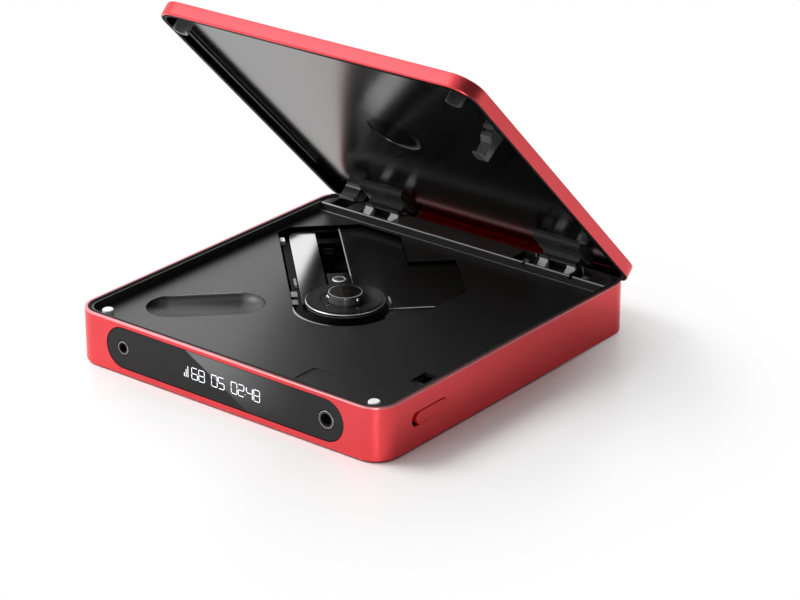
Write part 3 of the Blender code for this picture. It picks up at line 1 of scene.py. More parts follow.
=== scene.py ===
"""Looks of the portable disc player: finishes, small fittings, display, light and camera."""

import json
import math

import bmesh
import bpy
from mathutils import Matrix, Vector


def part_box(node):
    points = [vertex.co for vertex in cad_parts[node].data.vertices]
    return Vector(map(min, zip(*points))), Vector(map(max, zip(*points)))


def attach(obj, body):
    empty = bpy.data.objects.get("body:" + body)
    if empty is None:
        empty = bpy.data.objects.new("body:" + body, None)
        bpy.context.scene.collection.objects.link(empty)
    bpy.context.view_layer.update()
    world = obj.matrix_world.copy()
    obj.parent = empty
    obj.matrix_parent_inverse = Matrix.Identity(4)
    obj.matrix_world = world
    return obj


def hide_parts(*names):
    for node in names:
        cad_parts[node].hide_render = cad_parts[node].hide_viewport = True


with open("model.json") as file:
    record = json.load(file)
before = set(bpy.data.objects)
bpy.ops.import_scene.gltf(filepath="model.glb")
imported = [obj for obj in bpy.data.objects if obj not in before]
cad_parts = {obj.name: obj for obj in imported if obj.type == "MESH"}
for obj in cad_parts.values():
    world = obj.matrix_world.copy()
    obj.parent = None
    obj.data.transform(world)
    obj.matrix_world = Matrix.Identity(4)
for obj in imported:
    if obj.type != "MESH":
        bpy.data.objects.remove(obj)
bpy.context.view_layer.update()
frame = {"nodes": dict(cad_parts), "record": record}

MM = 0.001
nodes = frame["nodes"]
record = frame["record"]
scene = bpy.context.scene
player = bpy.data.collections.new("player_finish")
scene.collection.children.link(player)

BODY_OF = {member: body for body, members in record["behaviour"]["bodies"].items() for member in members}
SLOT_OF = {part["node"]: part["material_slot"] for part in record["subparts"]}

# Sizes and places of the player in metres, as the solids have them
FRONT_TO_ORIGIN = 0.0811325
CASE_HALF_WIDTH = 0.075
CASE_HALF_DEPTH = 0.078
CASE_CORNER = 0.010
CASE_Y = CASE_HALF_DEPTH - FRONT_TO_ORIGIN
HUB = Vector((-0.0008, 0.0728 - FRONT_TO_ORIGIN, 0))
HINGE = Vector((0, 0.151 - FRONT_TO_ORIGIN, 0.0167))
LID_ANGLE = math.radians(45.3)
MECHANISM_ANGLE = math.radians(45)
RIM = 0.0219
DECK = 0.0178
COVER = 0.0160
JACK_X = 0.0498
JACK_Z = 0.0116

# Grain of the finishes: cells in a metre, detail and stretch
MOULD_GRAIN = (5200.0, 3.0)
FINE_GRAIN = (6000.0, 2.0)
TURNING_MARKS = (60.0, 3.0)
DRAWN_LINES = (2600.0, 2.0)
WIPE_MARKS = (35.0, 5.0, (1, 3, 1))
MOULD_DEPTH = 0.00002
FINE_DEPTH = 0.000004
LINE_DEPTH = 0.000006
DYED_METAL = 0.92
# Pale grey of the painted highlights along bright edges
EDGE_HIGHLIGHT = (0.62, 0.62, 0.63)


class Value:
    """A number that varies over a surface, used like a Python number."""

    def __init__(self, wiring, socket):
        self.wiring = wiring
        self.socket = socket

    def _math(self, operation, first, second=None):
        return self.wiring.value("ShaderNodeMath", {"operation": operation}, [first, second])

    def __add__(self, other):
        return self._math("ADD", self, other)

    __radd__ = __add__

    def __mul__(self, other):
        return self._math("MULTIPLY", self, other)

    __rmul__ = __mul__

    def __sub__(self, other):
        return self._math("SUBTRACT", self, other)

    def __rsub__(self, other):
        return self._math("SUBTRACT", other, self)

    def __pow__(self, other):
        return self._math("POWER", self, other)

    def __gt__(self, other):
        return self._math("GREATER_THAN", self, other)

    def high(self, other):
        return self._math("MAXIMUM", self, other)

    def low(self, other):
        return self._math("MINIMUM", self, other)

    def size(self):
        return self._math("ABSOLUTE", self)

    def between(self, start, end, soft=0.00004):
        """1 between two values and 0 outside them."""
        return self.ramp(start, start + soft) * (1 - self.ramp(end - soft, end))

    def ramp(self, start, end, first=0.0, last=1.0):
        """One number at start, another at end, smooth between them."""
        return self.wiring.value("ShaderNodeMapRange", {"interpolation_type": "SMOOTHSTEP"},
                                 [self, start, end, first, last])


class Wiring:
    """A node tree, with one way of making its nodes."""

    def __init__(self, tree):
        self.tree = tree

    def node(self, kind, settings=None, sockets=None):
        """Makes a node. Its sockets are given by name or in order, as plain values or as links."""
        made = self.tree.nodes.new(kind)
        for name, setting in (settings or {}).items():
            setattr(made, name, setting)
        entries = sockets.items() if isinstance(sockets, dict) else enumerate(sockets or [])
        for name, entry in entries:
            if entry is None:
                continue
            if isinstance(entry, Value):
                entry = entry.socket
            if isinstance(entry, bpy.types.NodeSocket):
                self.tree.links.new(entry, made.inputs[name])
            else:
                made.inputs[name].default_value = entry
        return made

    def value(self, kind, settings=None, sockets=None, output=0):
        return Value(self, self.node(kind, settings, sockets).outputs[output])


class Look(Wiring):
    """One finish: a Principled material and the nodes that vary it."""

    def __init__(self, name, colour, roughness, metallic=0.0, **constants):
        self.material = bpy.data.materials.new(name)
        self.material.use_nodes = True
        super().__init__(self.material.node_tree)
        self.shader = self.tree.nodes["Principled BSDF"]
        self.shader.inputs["Base Color"].default_value = (*colour, 1.0)
        self.shader.inputs["Roughness"].default_value = roughness
        self.shader.inputs["Metallic"].default_value = metallic
        for socket, constant in constants.items():
            self.shader.inputs[socket.replace("_", " ")].default_value = constant
        self.place = self.node("ShaderNodeTexCoord").outputs["Object"]
        axes = self.node("ShaderNodeSeparateXYZ", {}, {"Vector": self.place})
        self.x, self.y, self.z = (Value(self, axes.outputs[axis]) for axis in "XYZ")

    def noise(self, scale, detail=2.0, stretch=(1, 1, 1)):
        """Cloudy value about 0.5, with so many cells in a metre."""
        place = self.node("ShaderNodeMapping", {}, {"Vector": self.place, "Scale": stretch}).outputs[0]
        return self.value("ShaderNodeTexNoise", {}, {"Vector": place, "Scale": scale, "Detail": detail})

    def mix(self, first, second, share):
        """Colour between two others."""
        first, second = (colour if isinstance(colour, bpy.types.NodeSocket) else (*colour, 1.0)
                         for colour in (first, second))
        return self.node("ShaderNodeMix", {"data_type": "RGBA"}, {0: share, 6: first, 7: second}).outputs[2]

    def depth_inside(self, x, y):
        """How far a place lies inside the casing's outline, which is about the origin of x and y."""
        across = x.size() - (CASE_HALF_WIDTH - CASE_CORNER)
        along = y.size() - (CASE_HALF_DEPTH - CASE_CORNER)
        beyond = (across.high(0.0) ** 2.0 + along.high(0.0) ** 2.0) ** 0.5
        return CASE_CORNER - beyond - across.high(along).low(0.0)

    def mechanism_axes(self):
        """How far a place lies from the hub along the pickup's slot's width and length."""
        across = self.x - HUB.x
        along = self.y - HUB.y
        return (across + along) * math.sqrt(0.5), (along - across) * math.sqrt(0.5)

    def lid_axes(self):
        """For a place of the lid: how far rearwards of its middle, and how high above its rim."""
        back = self.y - HINGE.y
        rise = self.z - HINGE.z
        along = back * math.cos(LID_ANGLE) - rise * math.sin(LID_ANGLE) + (HINGE.y - CASE_Y)
        upward = back * math.sin(LID_ANGLE) + rise * math.cos(LID_ANGLE) + (HINGE.z - RIM)
        return along, upward

    def feed(self, socket, value):
        source = value.socket if isinstance(value, Value) else value
        self.tree.links.new(source, self.shader.inputs[socket])

    def bump(self, height, depth, strength=1.0):
        """Raises the surface by height times a depth in metres."""
        made = self.node("ShaderNodeBump", {}, {"Strength": strength, "Distance": depth, "Height": height})
        self.feed("Normal", made.outputs[0])

    def surface(self, colour, roughness, metallic=None):
        """Feeds what varies over the surface, and gives the material."""
        self.feed("Base Color", colour)
        self.feed("Roughness", roughness)
        if metallic is not None:
            self.feed("Metallic", metallic)
        return self.material


def grey(level):
    return (level, level, level)


def reach_of(first, second):
    """How far a place lies from an axis, from its two distances beside it."""
    return (first * first + second * second) ** 0.5


def red_grain(look, deep, bright):
    """Colour and roughness of blasted and dyed metal."""
    grain = look.noise(9000.0, 2.0)
    cloud = look.noise(40.0, 3.0)
    colour = look.mix(deep, bright, (grain * 0.80 + cloud * 0.20).ramp(0.22, 0.66))
    look.bump(grain, 0.000012, 0.35)
    return colour, grain * 0.12 + cloud * 0.02 + 0.265


def anodised_shell(deep=(0.70, 0.050, 0.058), bright=(0.84, 0.084, 0.094)):
    """Red metal with a paler cut edge at the rim, partly the cut edge's own colour and partly a painted highlight,
    and black inside the walls.
    """
    look = Look("red_anodised_shell", bright, 0.36, DYED_METAL)
    colour, roughness = red_grain(look, deep, bright)
    # The cut edge's paler colour is partly its own and partly a painted highlight
    cut_edge_highlight = look.z.ramp(RIM - 0.00058, RIM - 0.00048)
    inside = look.depth_inside(look.x, look.y - CASE_Y).ramp(0.0012, 0.0013)
    colour = look.mix(colour, (0.93, 0.36, 0.38), cut_edge_highlight)
    return look.surface(look.mix(colour, grey(0.006), inside), roughness + inside * 0.5,
                        DYED_METAL - inside * DYED_METAL)


def anodised_lid(deep=(0.72, 0.056, 0.066), bright=(0.86, 0.090, 0.102)):
    """Red metal, black where it meets the liner, but not along the front edge."""
    look = Look("red_anodised_lid", bright, 0.36, DYED_METAL)
    colour, roughness = red_grain(look, deep, bright)
    along, upward = look.lid_axes()
    depth = look.depth_inside(look.x, along)
    rim = depth.ramp(0.00010, 0.00014) * (1 - upward.ramp(0.0006, 0.0007)) * along.ramp(-0.0745, -0.0735)
    liner_seat = depth.ramp(0.00095, 0.00098) * (1 - upward.ramp(0.0049, 0.0050))
    inside = rim.high(liner_seat)
    return look.surface(look.mix(colour, grey(0.004), inside), roughness + inside * 0.6,
                        DYED_METAL - inside * DYED_METAL)


def liner_black(tone=0.0010, roughness=0.16):
    """Satin black with a strong sheen, side walls that are matt and darkened as painted shade, a painted highlight
    as a pale line at the left, and a dished hub place darkened as painted shade.

    A painted reflection of the red casing is a red glow beside the hinge bar, and a painted highlight is a pale
    crescent in the hub place.
    """
    look = Look("liner_satin_black", grey(tone), roughness, 0.0, Specular_IOR_Level=1.0, IOR=1.75)
    grain = look.noise(*FINE_GRAIN)
    along, upward = look.lid_axes()
    wall = 1 - upward.ramp(0.0040, 0.0042)
    # The pale line at the left is a painted highlight
    line = upward.between(0.0032, 0.0039) * (1 - look.x.ramp(-0.0700, -0.0695)) * along.ramp(-0.0600, -0.0560)
    line = line * (1 - along.ramp(0.0480, 0.0520))
    side = look.x - HUB.x
    lengthwise = along - (HUB.y - CASE_Y)
    reach = reach_of(side, lengthwise)
    dish = 1 - reach.ramp(0.0106, 0.0110)
    # The pale crescent in the dish is a painted highlight
    crescent = reach.between(0.0094, 0.0116, 0.0005) * (side + lengthwise).ramp(0.0040, 0.0100)
    # The red glow is a painted reflection of the red casing
    glow = along.ramp(0.0490, 0.0600) * (1 - look.x.size().ramp(0.0300, 0.0340))
    # The side walls and the dish are darkened as painted shade; the walls are also rougher
    matt = wall.high(dish) * (1 - glow)
    colour = look.mix(grey(tone * 0.85), grey(tone * 1.2), grain)
    colour = look.mix(colour, grey(0.0008), matt)
    colour = look.mix(colour, (0.14, 0.001, 0.002), glow)
    colour = look.mix(colour, (0.085, 0.085, 0.088), crescent)
    colour = look.mix(colour, (0.42, 0.42, 0.43), line)
    look.bump(grain, FINE_DEPTH, 0.2)
    return look.surface(colour, grain * 0.04 + (roughness - 0.02) + wall * 0.4,
                        (matt * (1 - crescent)).high(glow) * (1 - line))


def lacquered_red(name, deep, bright):
    look = Look(name, bright, 0.30)
    return look.surface(*red_grain(look, deep, bright))


def mirror_black():
    """Polished sheet: a mirror left of the pickup's slot that darkens towards the slot as a painted reflection,
    painted black right of it as a painted dark reflection, with painted highlights as bright lines along its cut
    edges and beside the platter.
    """
    look = Look("polished_mechanism_cover", grey(0.80), 0.12, 1.0)
    smear = look.noise(*WIPE_MARKS)
    across, along = look.mechanism_axes()
    top = look.z.ramp(COVER - 0.00016, COVER - 0.00012)
    # Right of the slot the top is painted dark, a painted reflection
    bright = top * (1 - across.ramp(0.0040, 0.0045))
    # The bright lines along the slot, the front edge and beside the platter are painted highlights
    slot_edge = top * across.between(0.0049, 0.0054)
    front_edge = top * along.between(-0.0018, -0.0012) * across.between(0.0165, 0.0345)
    gleam = top * across.between(0.0173, 0.0184, 0.0004) * along.between(0.0022, 0.0112, 0.003)
    line = slot_edge.high(front_edge).high(gleam)
    # The mirror's darkening towards the slot is a painted reflection
    reflection_fade = (across + 0.0168 - (along - 0.028) * 0.22).ramp(0.0, 0.0085)
    mirror = look.mix((0.80, 0.80, 0.81), (0.86, 0.86, 0.87), smear)
    sheet = look.mix(mirror, (0.060, 0.060, 0.061), reflection_fade)
    colour = look.mix(grey(0.010), sheet, bright)
    return look.surface(look.mix(colour, EDGE_HIGHLIGHT, line), smear * 0.02 + 0.16, bright)


def turned_black():
    """Polished black of the turntable, with two bright edges, partly bright metal and partly a painted highlight."""
    look = Look("polished_turntable_black", grey(0.006), 0.06)
    smear = look.noise(*TURNING_MARKS)
    side = reach_of(*look.mechanism_axes()).ramp(0.01526, 0.01532)
    upper = look.z.ramp(0.01992, 0.02000)
    lower = 1 - look.z.ramp(0.01920, 0.01930)
    # The two bright edges are partly bright metal and partly a painted highlight
    edge = side * upper.high(lower)
    return look.surface(look.mix(grey(0.006), (0.70, 0.70, 0.71), edge),
                        smear * 0.03 + edge * 0.15 + 0.05, edge * 0.7)


def hub_black():
    """Hub cap: black top, satin grey wall and a painted highlight as a bright line between them."""
    look = Look("turned_hub", grey(0.006), 0.06)
    smear = look.noise(*TURNING_MARKS)
    reach = reach_of(*look.mechanism_axes())
    wall = reach.ramp(0.00650, 0.00655) * (1 - look.z.ramp(0.02290, 0.02295))
    # The bright line is a painted highlight
    line = reach.ramp(0.00615, 0.00620) * (look.z > 0.0228) * (1 - reach.ramp(0.00660, 0.00664))
    colour = look.mix(grey(0.006), (0.20, 0.20, 0.21), wall)
    return look.surface(look.mix(colour, EDGE_HIGHLIGHT, line),
                        smear * 0.03 + wall * 0.30 + line * 0.10 + 0.05, line.high(wall) * 0.6)


def jack_metal():
    """Nickel ring about each jack's dark mouth."""
    look = Look("nickel_jack", (0.62, 0.61, 0.59), 0.25, 1.0)
    lines = look.noise(*DRAWN_LINES)
    right = look.x.ramp(-0.0001, 0.0001)
    reach = reach_of(look.x.size() - JACK_X, look.z - JACK_Z)
    small_ring = reach.ramp(0.00232, 0.00240) * (1 - right)
    large_ring = reach.ramp(0.00314, 0.00322) * right
    ring = small_ring + large_ring
    nickel = look.mix((0.34, 0.33, 0.32), (0.48, 0.47, 0.46), lines)
    look.bump(lines, LINE_DEPTH, 0.3)
    return look.surface(look.mix(grey(0.02), nickel, ring), lines * 0.14 + 0.22, ring)


def moulded_black(name, tone, roughness):
    """Satin plastic with a fine spark-eroded grain."""
    look = Look(name, grey(tone), roughness)
    grain = look.noise(*MOULD_GRAIN)
    wear = look.noise(60.0, 4.0)
    dark = (tone * 0.8, tone * 0.8, tone * 0.83)
    pale = (tone * 1.35, tone * 1.35, tone * 1.4)
    look.bump(grain, MOULD_DEPTH, 0.5)
    return look.surface(look.mix(dark, pale, (grain * 0.5 + wear * 0.5).ramp(0.3, 0.7)),
                        grain * 0.12 + wear * 0.10 + (roughness - 0.11))


def deck_black(tone=0.010, roughness=0.34):
    """Fine-grained black with a strong sheen, and opening walls that are matt and darkened as painted shade.

    The well's rounded edge has a painted highlight as a crescent, widest along a level line to the front right,
    towards the camera, and the rear step has a painted highlight as a bright line.
    """
    look = Look("deck_satin_black", grey(tone), roughness, 0.0, Specular_IOR_Level=1.0, IOR=1.6)
    grain = look.noise(*FINE_GRAIN)
    across, along = look.mechanism_axes()
    reach = reach_of(across, along)
    below = 1 - look.z.ramp(DECK - 0.00014, DECK - 0.00010)
    # The opening's walls are darkened as painted shade
    wall = below * across.ramp(-0.0240, -0.0239) * along.ramp(-0.0215, -0.0214)
    wall = wall * (1 - look.x.size().ramp(0.0700, 0.0701)) * (1 - look.y.ramp(0.0605, 0.0606))
    # view_x and view_y point towards the camera, seen from above; the painted highlight on the well's edge is widest
    # towards it
    view_x, view_y = 0.622, 0.783
    near = (look.x - HUB.x) * view_x - (look.y - HUB.y) * view_y
    left = (look.x - HUB.x) * -view_y - (look.y - HUB.y) * view_x
    shine = near.low(left * 0.45).high(0.0) * 0.12
    crescent = (1 - below) * (1 - (reach - 0.0201 - shine).ramp(0.0, 0.00004)) * left.ramp(0.004, 0.008)
    # The bright line along the rear step is a painted highlight
    rear_step = look.y.ramp(0.06120, 0.06125) * look.z.between(DECK - 0.0006, DECK + 0.0002)
    line = crescent.high(rear_step)
    colour = look.mix(grey(tone * 0.85), grey(tone * 1.2), grain)
    colour = look.mix(colour, grey(0.001), wall)
    look.bump(grain, FINE_DEPTH, 0.25)
    return look.surface(look.mix(colour, (0.50, 0.50, 0.51), line),
                        grain * 0.04 + (roughness - 0.02) + wall * 0.3, wall)


def bar_black(front=0.014, upper=0.075):
    """Satin plastic of the hinge bar, paler on top and darker in front as painted light, with a painted highlight as
    a bright line along its front top edge.
    """
    look = Look("hinge_bar_black", grey(front), 0.36)
    grain = look.noise(*MOULD_GRAIN)
    # The paler top is painted light, and the bright line along the front top edge is a painted highlight
    top = look.z.ramp(0.02100, 0.02104)
    line = (1 - look.y.ramp(0.06245, 0.06252)) * look.z.ramp(0.02065, 0.02070)
    front_face = look.mix(grey(front), grey(front * 1.4), grain)
    top_face = look.mix(grey(upper * 0.85), grey(upper * 1.15), grain)
    look.bump(grain, MOULD_DEPTH, 0.5)
    return look.surface(look.mix(look.mix(front_face, top_face, top), (0.55, 0.55, 0.56), line),
                        grain * 0.12 + 0.30)


def arm_black(tone=0.045, roughness=0.28):
    """Hinge arm: dark plate whose knuckles, about the hinge pin, are bright as a painted highlight."""
    look = Look("hinge_arm_black", grey(tone), roughness)
    grain = look.noise(*MOULD_GRAIN)
    back = look.y - HINGE.y
    reach = reach_of(back, look.z - HINGE.z)
    # The bright knuckles are a painted highlight
    bright = (1 - reach.ramp(0.0054, 0.0060)) * (1 - back.ramp(-0.0020, 0.0))
    plate = look.mix(grey(tone * 0.8), grey(tone * 1.3), grain)
    look.bump(grain, MOULD_DEPTH, 0.4)
    return look.surface(look.mix(plate, (0.90, 0.90, 0.91), bright), grain * 0.12 + (roughness - 0.06))


def tab_grey():
    """Small catch on the lid's edge, paler downwards as a painted highlight, with a painted highlight as a bright
    top.
    """
    look = Look("edge_tab_grey", grey(0.10), 0.32)
    grain = look.noise(*MOULD_GRAIN)
    # The paler lower part and the bright top line are painted highlights
    down = 1 - look.z.ramp(0.0205, 0.0262)
    top_line = look.z.ramp(0.02595, 0.02600)
    colour = look.mix(grey(0.04), (0.36, 0.36, 0.37), down)
    return look.surface(look.mix(colour, EDGE_HIGHLIGHT, top_line), grain * 0.12 + 0.26)


def polished_black(name, tone=0.006, roughness=0.06):
    """High-gloss plastic with faint wipe marks."""
    look = Look(name, grey(tone), roughness, 0.0, Coat_Roughness=0.03)
    smear = look.noise(*WIPE_MARKS)
    dust = look.noise(2400.0, 1.0).ramp(0.72, 0.80)
    look.bump(smear, 0.00001, 0.08)
    return look.surface(look.mix(grey(tone), (tone * 2.2, tone * 2.2, tone * 2.3), smear),
                        smear * 0.06 + dust * 0.15 + (roughness - 0.02))


def bright_metal(name, colour=(0.78, 0.78, 0.80), roughness=0.16, stretch=(1, 1, 1), metallic=1.0):
    """Metal with fine lines, drawn out where it is stretched."""
    look = Look(name, colour, roughness, metallic)
    lines = look.noise(*DRAWN_LINES, stretch)
    cloud = look.noise(120.0, 3.0)
    darker = tuple(channel * 0.72 for channel in colour)
    look.bump(lines, LINE_DEPTH, 0.3)
    return look.surface(look.mix(darker, colour, (lines * 0.5 + cloud * 0.5).ramp(0.3, 0.6)),
                        lines * 0.14 + (roughness - 0.05))


def soft_rubber(name, colour=(0.018, 0.018, 0.018), roughness=0.78):
    look = Look(name, colour, roughness)
    pores = look.noise(3800.0, 3.0)
    dust = look.noise(500.0, 2.0)
    paler = tuple(channel * 1.15 + 0.008 for channel in colour)
    look.bump(pores, 0.00002, 0.4)
    return look.surface(look.mix(colour, paler, dust), pores * 0.16 + (roughness - 0.08))


def window_glass():
    """Dark display window with a painted reflection as a paler patch right of a slanting edge."""
    look = Look("display_window", (0.012, 0.012, 0.013), 0.10, 0.0, Specular_IOR_Level=0.25)
    # The paler patch right of the slanting edge is a painted reflection
    slant = look.x + look.z * 1.845 - 0.01863
    patch = slant.ramp(-0.0001, 0.0001) * (1 - look.x.ramp(-0.012, 0.040)) * look.z.ramp(-0.002, 0.020)
    haze = look.noise(30.0, 3.0)
    tone = look.mix((0.009, 0.009, 0.010), (0.014, 0.014, 0.015), haze)
    look.bump(haze, 0.00001, 0.05)
    return look.surface(look.mix(tone, (0.190, 0.190, 0.193), patch), haze * 0.05 + 0.09)


def dead_black():
    """Deep black of the chassis, darkened as painted shade, since it lies in the shade of the deck."""
    look = Look("chassis_dead_black", grey(0.004), 0.5, 1.0)
    grain = look.noise(*MOULD_GRAIN)
    return look.surface(look.mix(grey(0.003), grey(0.006), grain), grain * 0.2 + 0.4)


def circuit_green():
    """Solder mask with tracks, pads and a matt weave."""
    look = Look("circuit_board_green", (0.01, 0.10, 0.045), 0.4)
    tracks = look.value("ShaderNodeTexBrick", {"offset": 0.37, "squash": 1.0},
                        {"Vector": look.place, "Scale": 260.0, "Mortar Size": 0.03, "Brick Width": 0.9,
                         "Row Height": 0.22}, 1)
    weave = look.noise(2500.0, 2.0)
    look.bump(tracks, 0.00003, 0.5)
    return look.surface(look.mix((0.010, 0.085, 0.040), (0.03, 0.20, 0.10), tracks), weave * 0.2 + 0.3)


def cell_wrap():
    """Blue film shrunk on the cell, creased across and duller at its rear end."""
    look = Look("battery_shrink_wrap", (0.03, 0.07, 0.22), 0.3)
    crease = look.noise(180.0, 4.0, (1, 6, 1))
    rear_band = look.y.ramp(0.050, 0.0505)
    look.bump(crease, 0.0001, 0.4)
    return look.surface(look.mix((0.03, 0.07, 0.24), (0.05, 0.11, 0.30), crease),
                        crease * 0.2 + rear_band * 0.2 + 0.2)


def lens_blue():
    """Coated lens, dark with a faint blue cast."""
    look = Look("coated_lens", (0.10, 0.11, 0.18), 0.03, 0.0, Transmission_Weight=0.3, IOR=1.6)
    coat = look.noise(900.0, 1.0)
    return look.surface(look.mix((0.03, 0.03, 0.04), (0.10, 0.10, 0.13), coat), coat * 0.03 + 0.01)


def lit_white():
    look = Look("display_segments", (0.9, 0.92, 0.95), 0.4, 0.0, Emission_Strength=0.85)
    glow = look.noise(2000.0, 1.0)
    look.feed("Emission Color", look.mix((0.86, 0.90, 0.95), (1.0, 1.0, 1.0), glow))
    return look.material


FINISH = {
    "shell": anodised_shell(),
    "lid": anodised_lid(),
    "knob": lacquered_red("red_lacquered_knob", (0.86, 0.010, 0.014), (0.98, 0.016, 0.022)),
    "deck": deck_black(),
    "liner": liner_black(),
    "bar": bar_black(),
    "fitting": moulded_black("fitting_black", 0.060, 0.26),
    "underside": moulded_black("bottom_cover_black", 0.02, 0.5),
    "hinge": arm_black(),
    "tab": tab_grey(),
    # The left rest cup's black is paler than the right cup's as painted light
    "cup": moulded_black("rest_cup_black", 0.14, 0.30),
    "inner": moulded_black("inner_moulding_black", 0.007, 0.5),
    "cover": mirror_black(),
    "chassis": dead_black(),
    "holder": polished_black("polished_holder_black"),
    "platter": turned_black(),
    "hub": hub_black(),
    "mat": polished_black("turntable_mat_black", 0.008, 0.12),
    "jack": jack_metal(),
    "steel": bright_metal("polished_steel"),
    "spring": bright_metal("spring_wire", (0.86, 0.86, 0.87), 0.22, metallic=0.25),
    "plated": bright_metal("plated_steel", (0.60, 0.60, 0.60), 0.30, (1, 8, 1)),
    "nickel": bright_metal("nickel_plate", (0.80, 0.77, 0.72), 0.18),
    "rubber": soft_rubber("black_rubber"),
    "white": soft_rubber("white_lid_rest", (0.86, 0.86, 0.85), 0.45),
    "window": window_glass(),
    "board": circuit_green(),
    "cell": cell_wrap(),
    "lens": lens_blue(),
    "lit": lit_white(),
}

CREASE_ANGLE = math.radians(35.0)
CORNER_ANGLE = math.radians(38)
FLAT_ANGLE = math.radians(0.4)
MERGE_DISTANCE = 0.000002
EDGE_SEGMENTS = 2


def own(name, form, look, body, slot, *stands_for):
    """Turns a bmesh in the player's own axes into a finished piece that moves with a body."""
    mesh = bpy.data.meshes.new(name)
    form.to_mesh(mesh)
    form.free()
    mesh.materials.append(FINISH[look])
    piece = bpy.data.objects.new(name, mesh)
    player.objects.link(piece)
    mesh.shade_smooth()
    mesh.set_sharp_from_angle(angle=CREASE_ANGLE)
    weigh = piece.modifiers.new("weigh", "WEIGHTED_NORMAL")
    weigh.mode = "FACE_AREA"
    weigh.keep_sharp = True
    graph = bpy.context.evaluated_depsgraph_get()
    weighed = bpy.data.meshes.new_from_object(piece.evaluated_get(graph))
    piece.modifiers.clear()
    piece.data = weighed
    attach(piece, body)
    if stands_for:
        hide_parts(*stands_for)


def copy_of(node, edge):
    """The solid as one merged form, with an edge radius where it has corners."""
    form = bmesh.new()
    form.from_mesh(nodes[node].data)
    bmesh.ops.remove_doubles(form, verts=form.verts, dist=MERGE_DISTANCE)
    bmesh.ops.dissolve_limit(form, angle_limit=FLAT_ANGLE, verts=form.verts, edges=form.edges)
    if edge:
        corners = [item for item in form.edges if len(item.link_faces) == 2
                   and item.calc_face_angle(0) > CORNER_ANGLE and item.calc_length() > edge * 2]
        bmesh.ops.bevel(form, geom=corners, offset=edge, segments=EDGE_SEGMENTS, profile=0.5,
                        affect="EDGES", clamp_overlap=True)
    return form


# Edge radii in metres
NO_EDGE = 0.0
MAT_EDGE = 0.00006
WINDOW_EDGE = 0.00008
FINE_EDGE = 0.0001
BROAD_EDGE = 0.00012

DRESSED = (
    ("shell", NO_EDGE, ["body_shell"]),
    ("lid", NO_EDGE, ["lid_shell"]),
    ("liner", NO_EDGE, ["lid_liner"]),
    ("deck", NO_EDGE, ["deck_plate"]),
    ("bar", NO_EDGE, ["hinge_bar"]),
    ("hinge", FINE_EDGE, ["hinge_arm_left", "hinge_arm_right"]),
    ("tab", FINE_EDGE, ["edge_tab"]),
    ("fitting", BROAD_EDGE, ["latch_hook"]),
    # The left rest cup is a paler copy of the same black, as painted light
    ("cup", FINE_EDGE, ["rest_cup_left"]),
    ("fitting", FINE_EDGE, ["rest_cup_right", "lid_stud"]),
    ("white", NO_EDGE, ["lid_rest_left", "lid_rest_right"]),
    ("window", WINDOW_EDGE, ["front_window"]),
    ("jack", NO_EDGE, ["jack_small", "jack_large"]),
    ("knob", NO_EDGE, ["open_slider"]),
    ("platter", NO_EDGE, ["platter"]),
    ("mat", MAT_EDGE, ["platter_mat"]),
    ("hub", NO_EDGE, ["hub_cap"]),
    ("steel", NO_EDGE, ["chuck_ball_1", "chuck_ball_2", "chuck_ball_3"]),
    ("cover", BROAD_EDGE, ["mechanism_cover"]),
    ("holder", FINE_EDGE, ["lens_holder"]),
    ("spring", NO_EDGE, ["lens_ring"]),
    ("lens", NO_EDGE, ["objective_lens"]),
    ("plated", NO_EDGE, ["hinge_pin_left"]),
    ("steel", NO_EDGE, ["hinge_pin_right"]),
    ("spring", NO_EDGE, ["torsion_spring_inner", "torsion_spring_outer"]),
    ("underside", NO_EDGE, ["bottom_cover"]),
    ("rubber", NO_EDGE, ["foot_1", "foot_2", "foot_3", "foot_4"]),
    ("knob", NO_EDGE, ["key_volume_down", "key_volume_up", "key_previous", "key_play", "key_next"]),
    ("nickel", NO_EDGE, ["charging_socket"]),
    ("steel", NO_EDGE, ["guide_rod"]),
    ("chassis", FINE_EDGE, ["pickup_sled"]),
    ("chassis", NO_EDGE, ["chassis"]),
    ("plated", NO_EDGE, ["latch_plate"]),
)
for look, edge, dressed_nodes in DRESSED:
    for node in dressed_nodes:
        own(node + "_finished", copy_of(node, edge), look, BODY_OF[node], SLOT_OF[node], node)

# Solids that stay as they are and only get a finish
PAINTED = {
    "inner": ["display_module"],
    "board": ["key_board", "main_board", "charging_board"],
    "rubber": ["grommet_1", "grommet_2", "grommet_3"],
    "plated": ["spindle_motor", "feed_motor"],
    "cell": ["battery"],
    "steel": ["lead_screw"],
}
for look, painted_nodes in PAINTED.items():
    for node in painted_nodes:
        solid = nodes[node].data
        solid.materials.clear()
        solid.materials.append(FINISH[look])

BAR_WIDTH = 0.00029
BAR_DEPTH = 0.00004
BAR_GAP = 0.0002
DIGIT_WIDTH = 0.0028
DIGIT_BOTTOM = 0.0090
DIGIT_TOP = 0.0136
DISPLAY_LEFT = -0.0184

# Lit bars of each digit, named in turn from the top bar clockwise, with g in the middle
BARS_OF = {"0": "abcdef", "2": "abged", "4": "fgbc", "5": "afgcd", "6": "afedcg", "8": "abcdefg"}
# Digits, level bars with their share of a digit's height, and the colon, with their places in millimetres
DIGITS = ((3.5, "6"), (7.0, "8"), (13.3, "0"), (16.7, "5"), (23.0, "0"), (26.4, "2"), (30.5, "4"), (34.0, "8"))
LEVELS = ((-0.2, 0.34), (0.7, 0.67), (1.6, 1.0))
COLON = 29.75


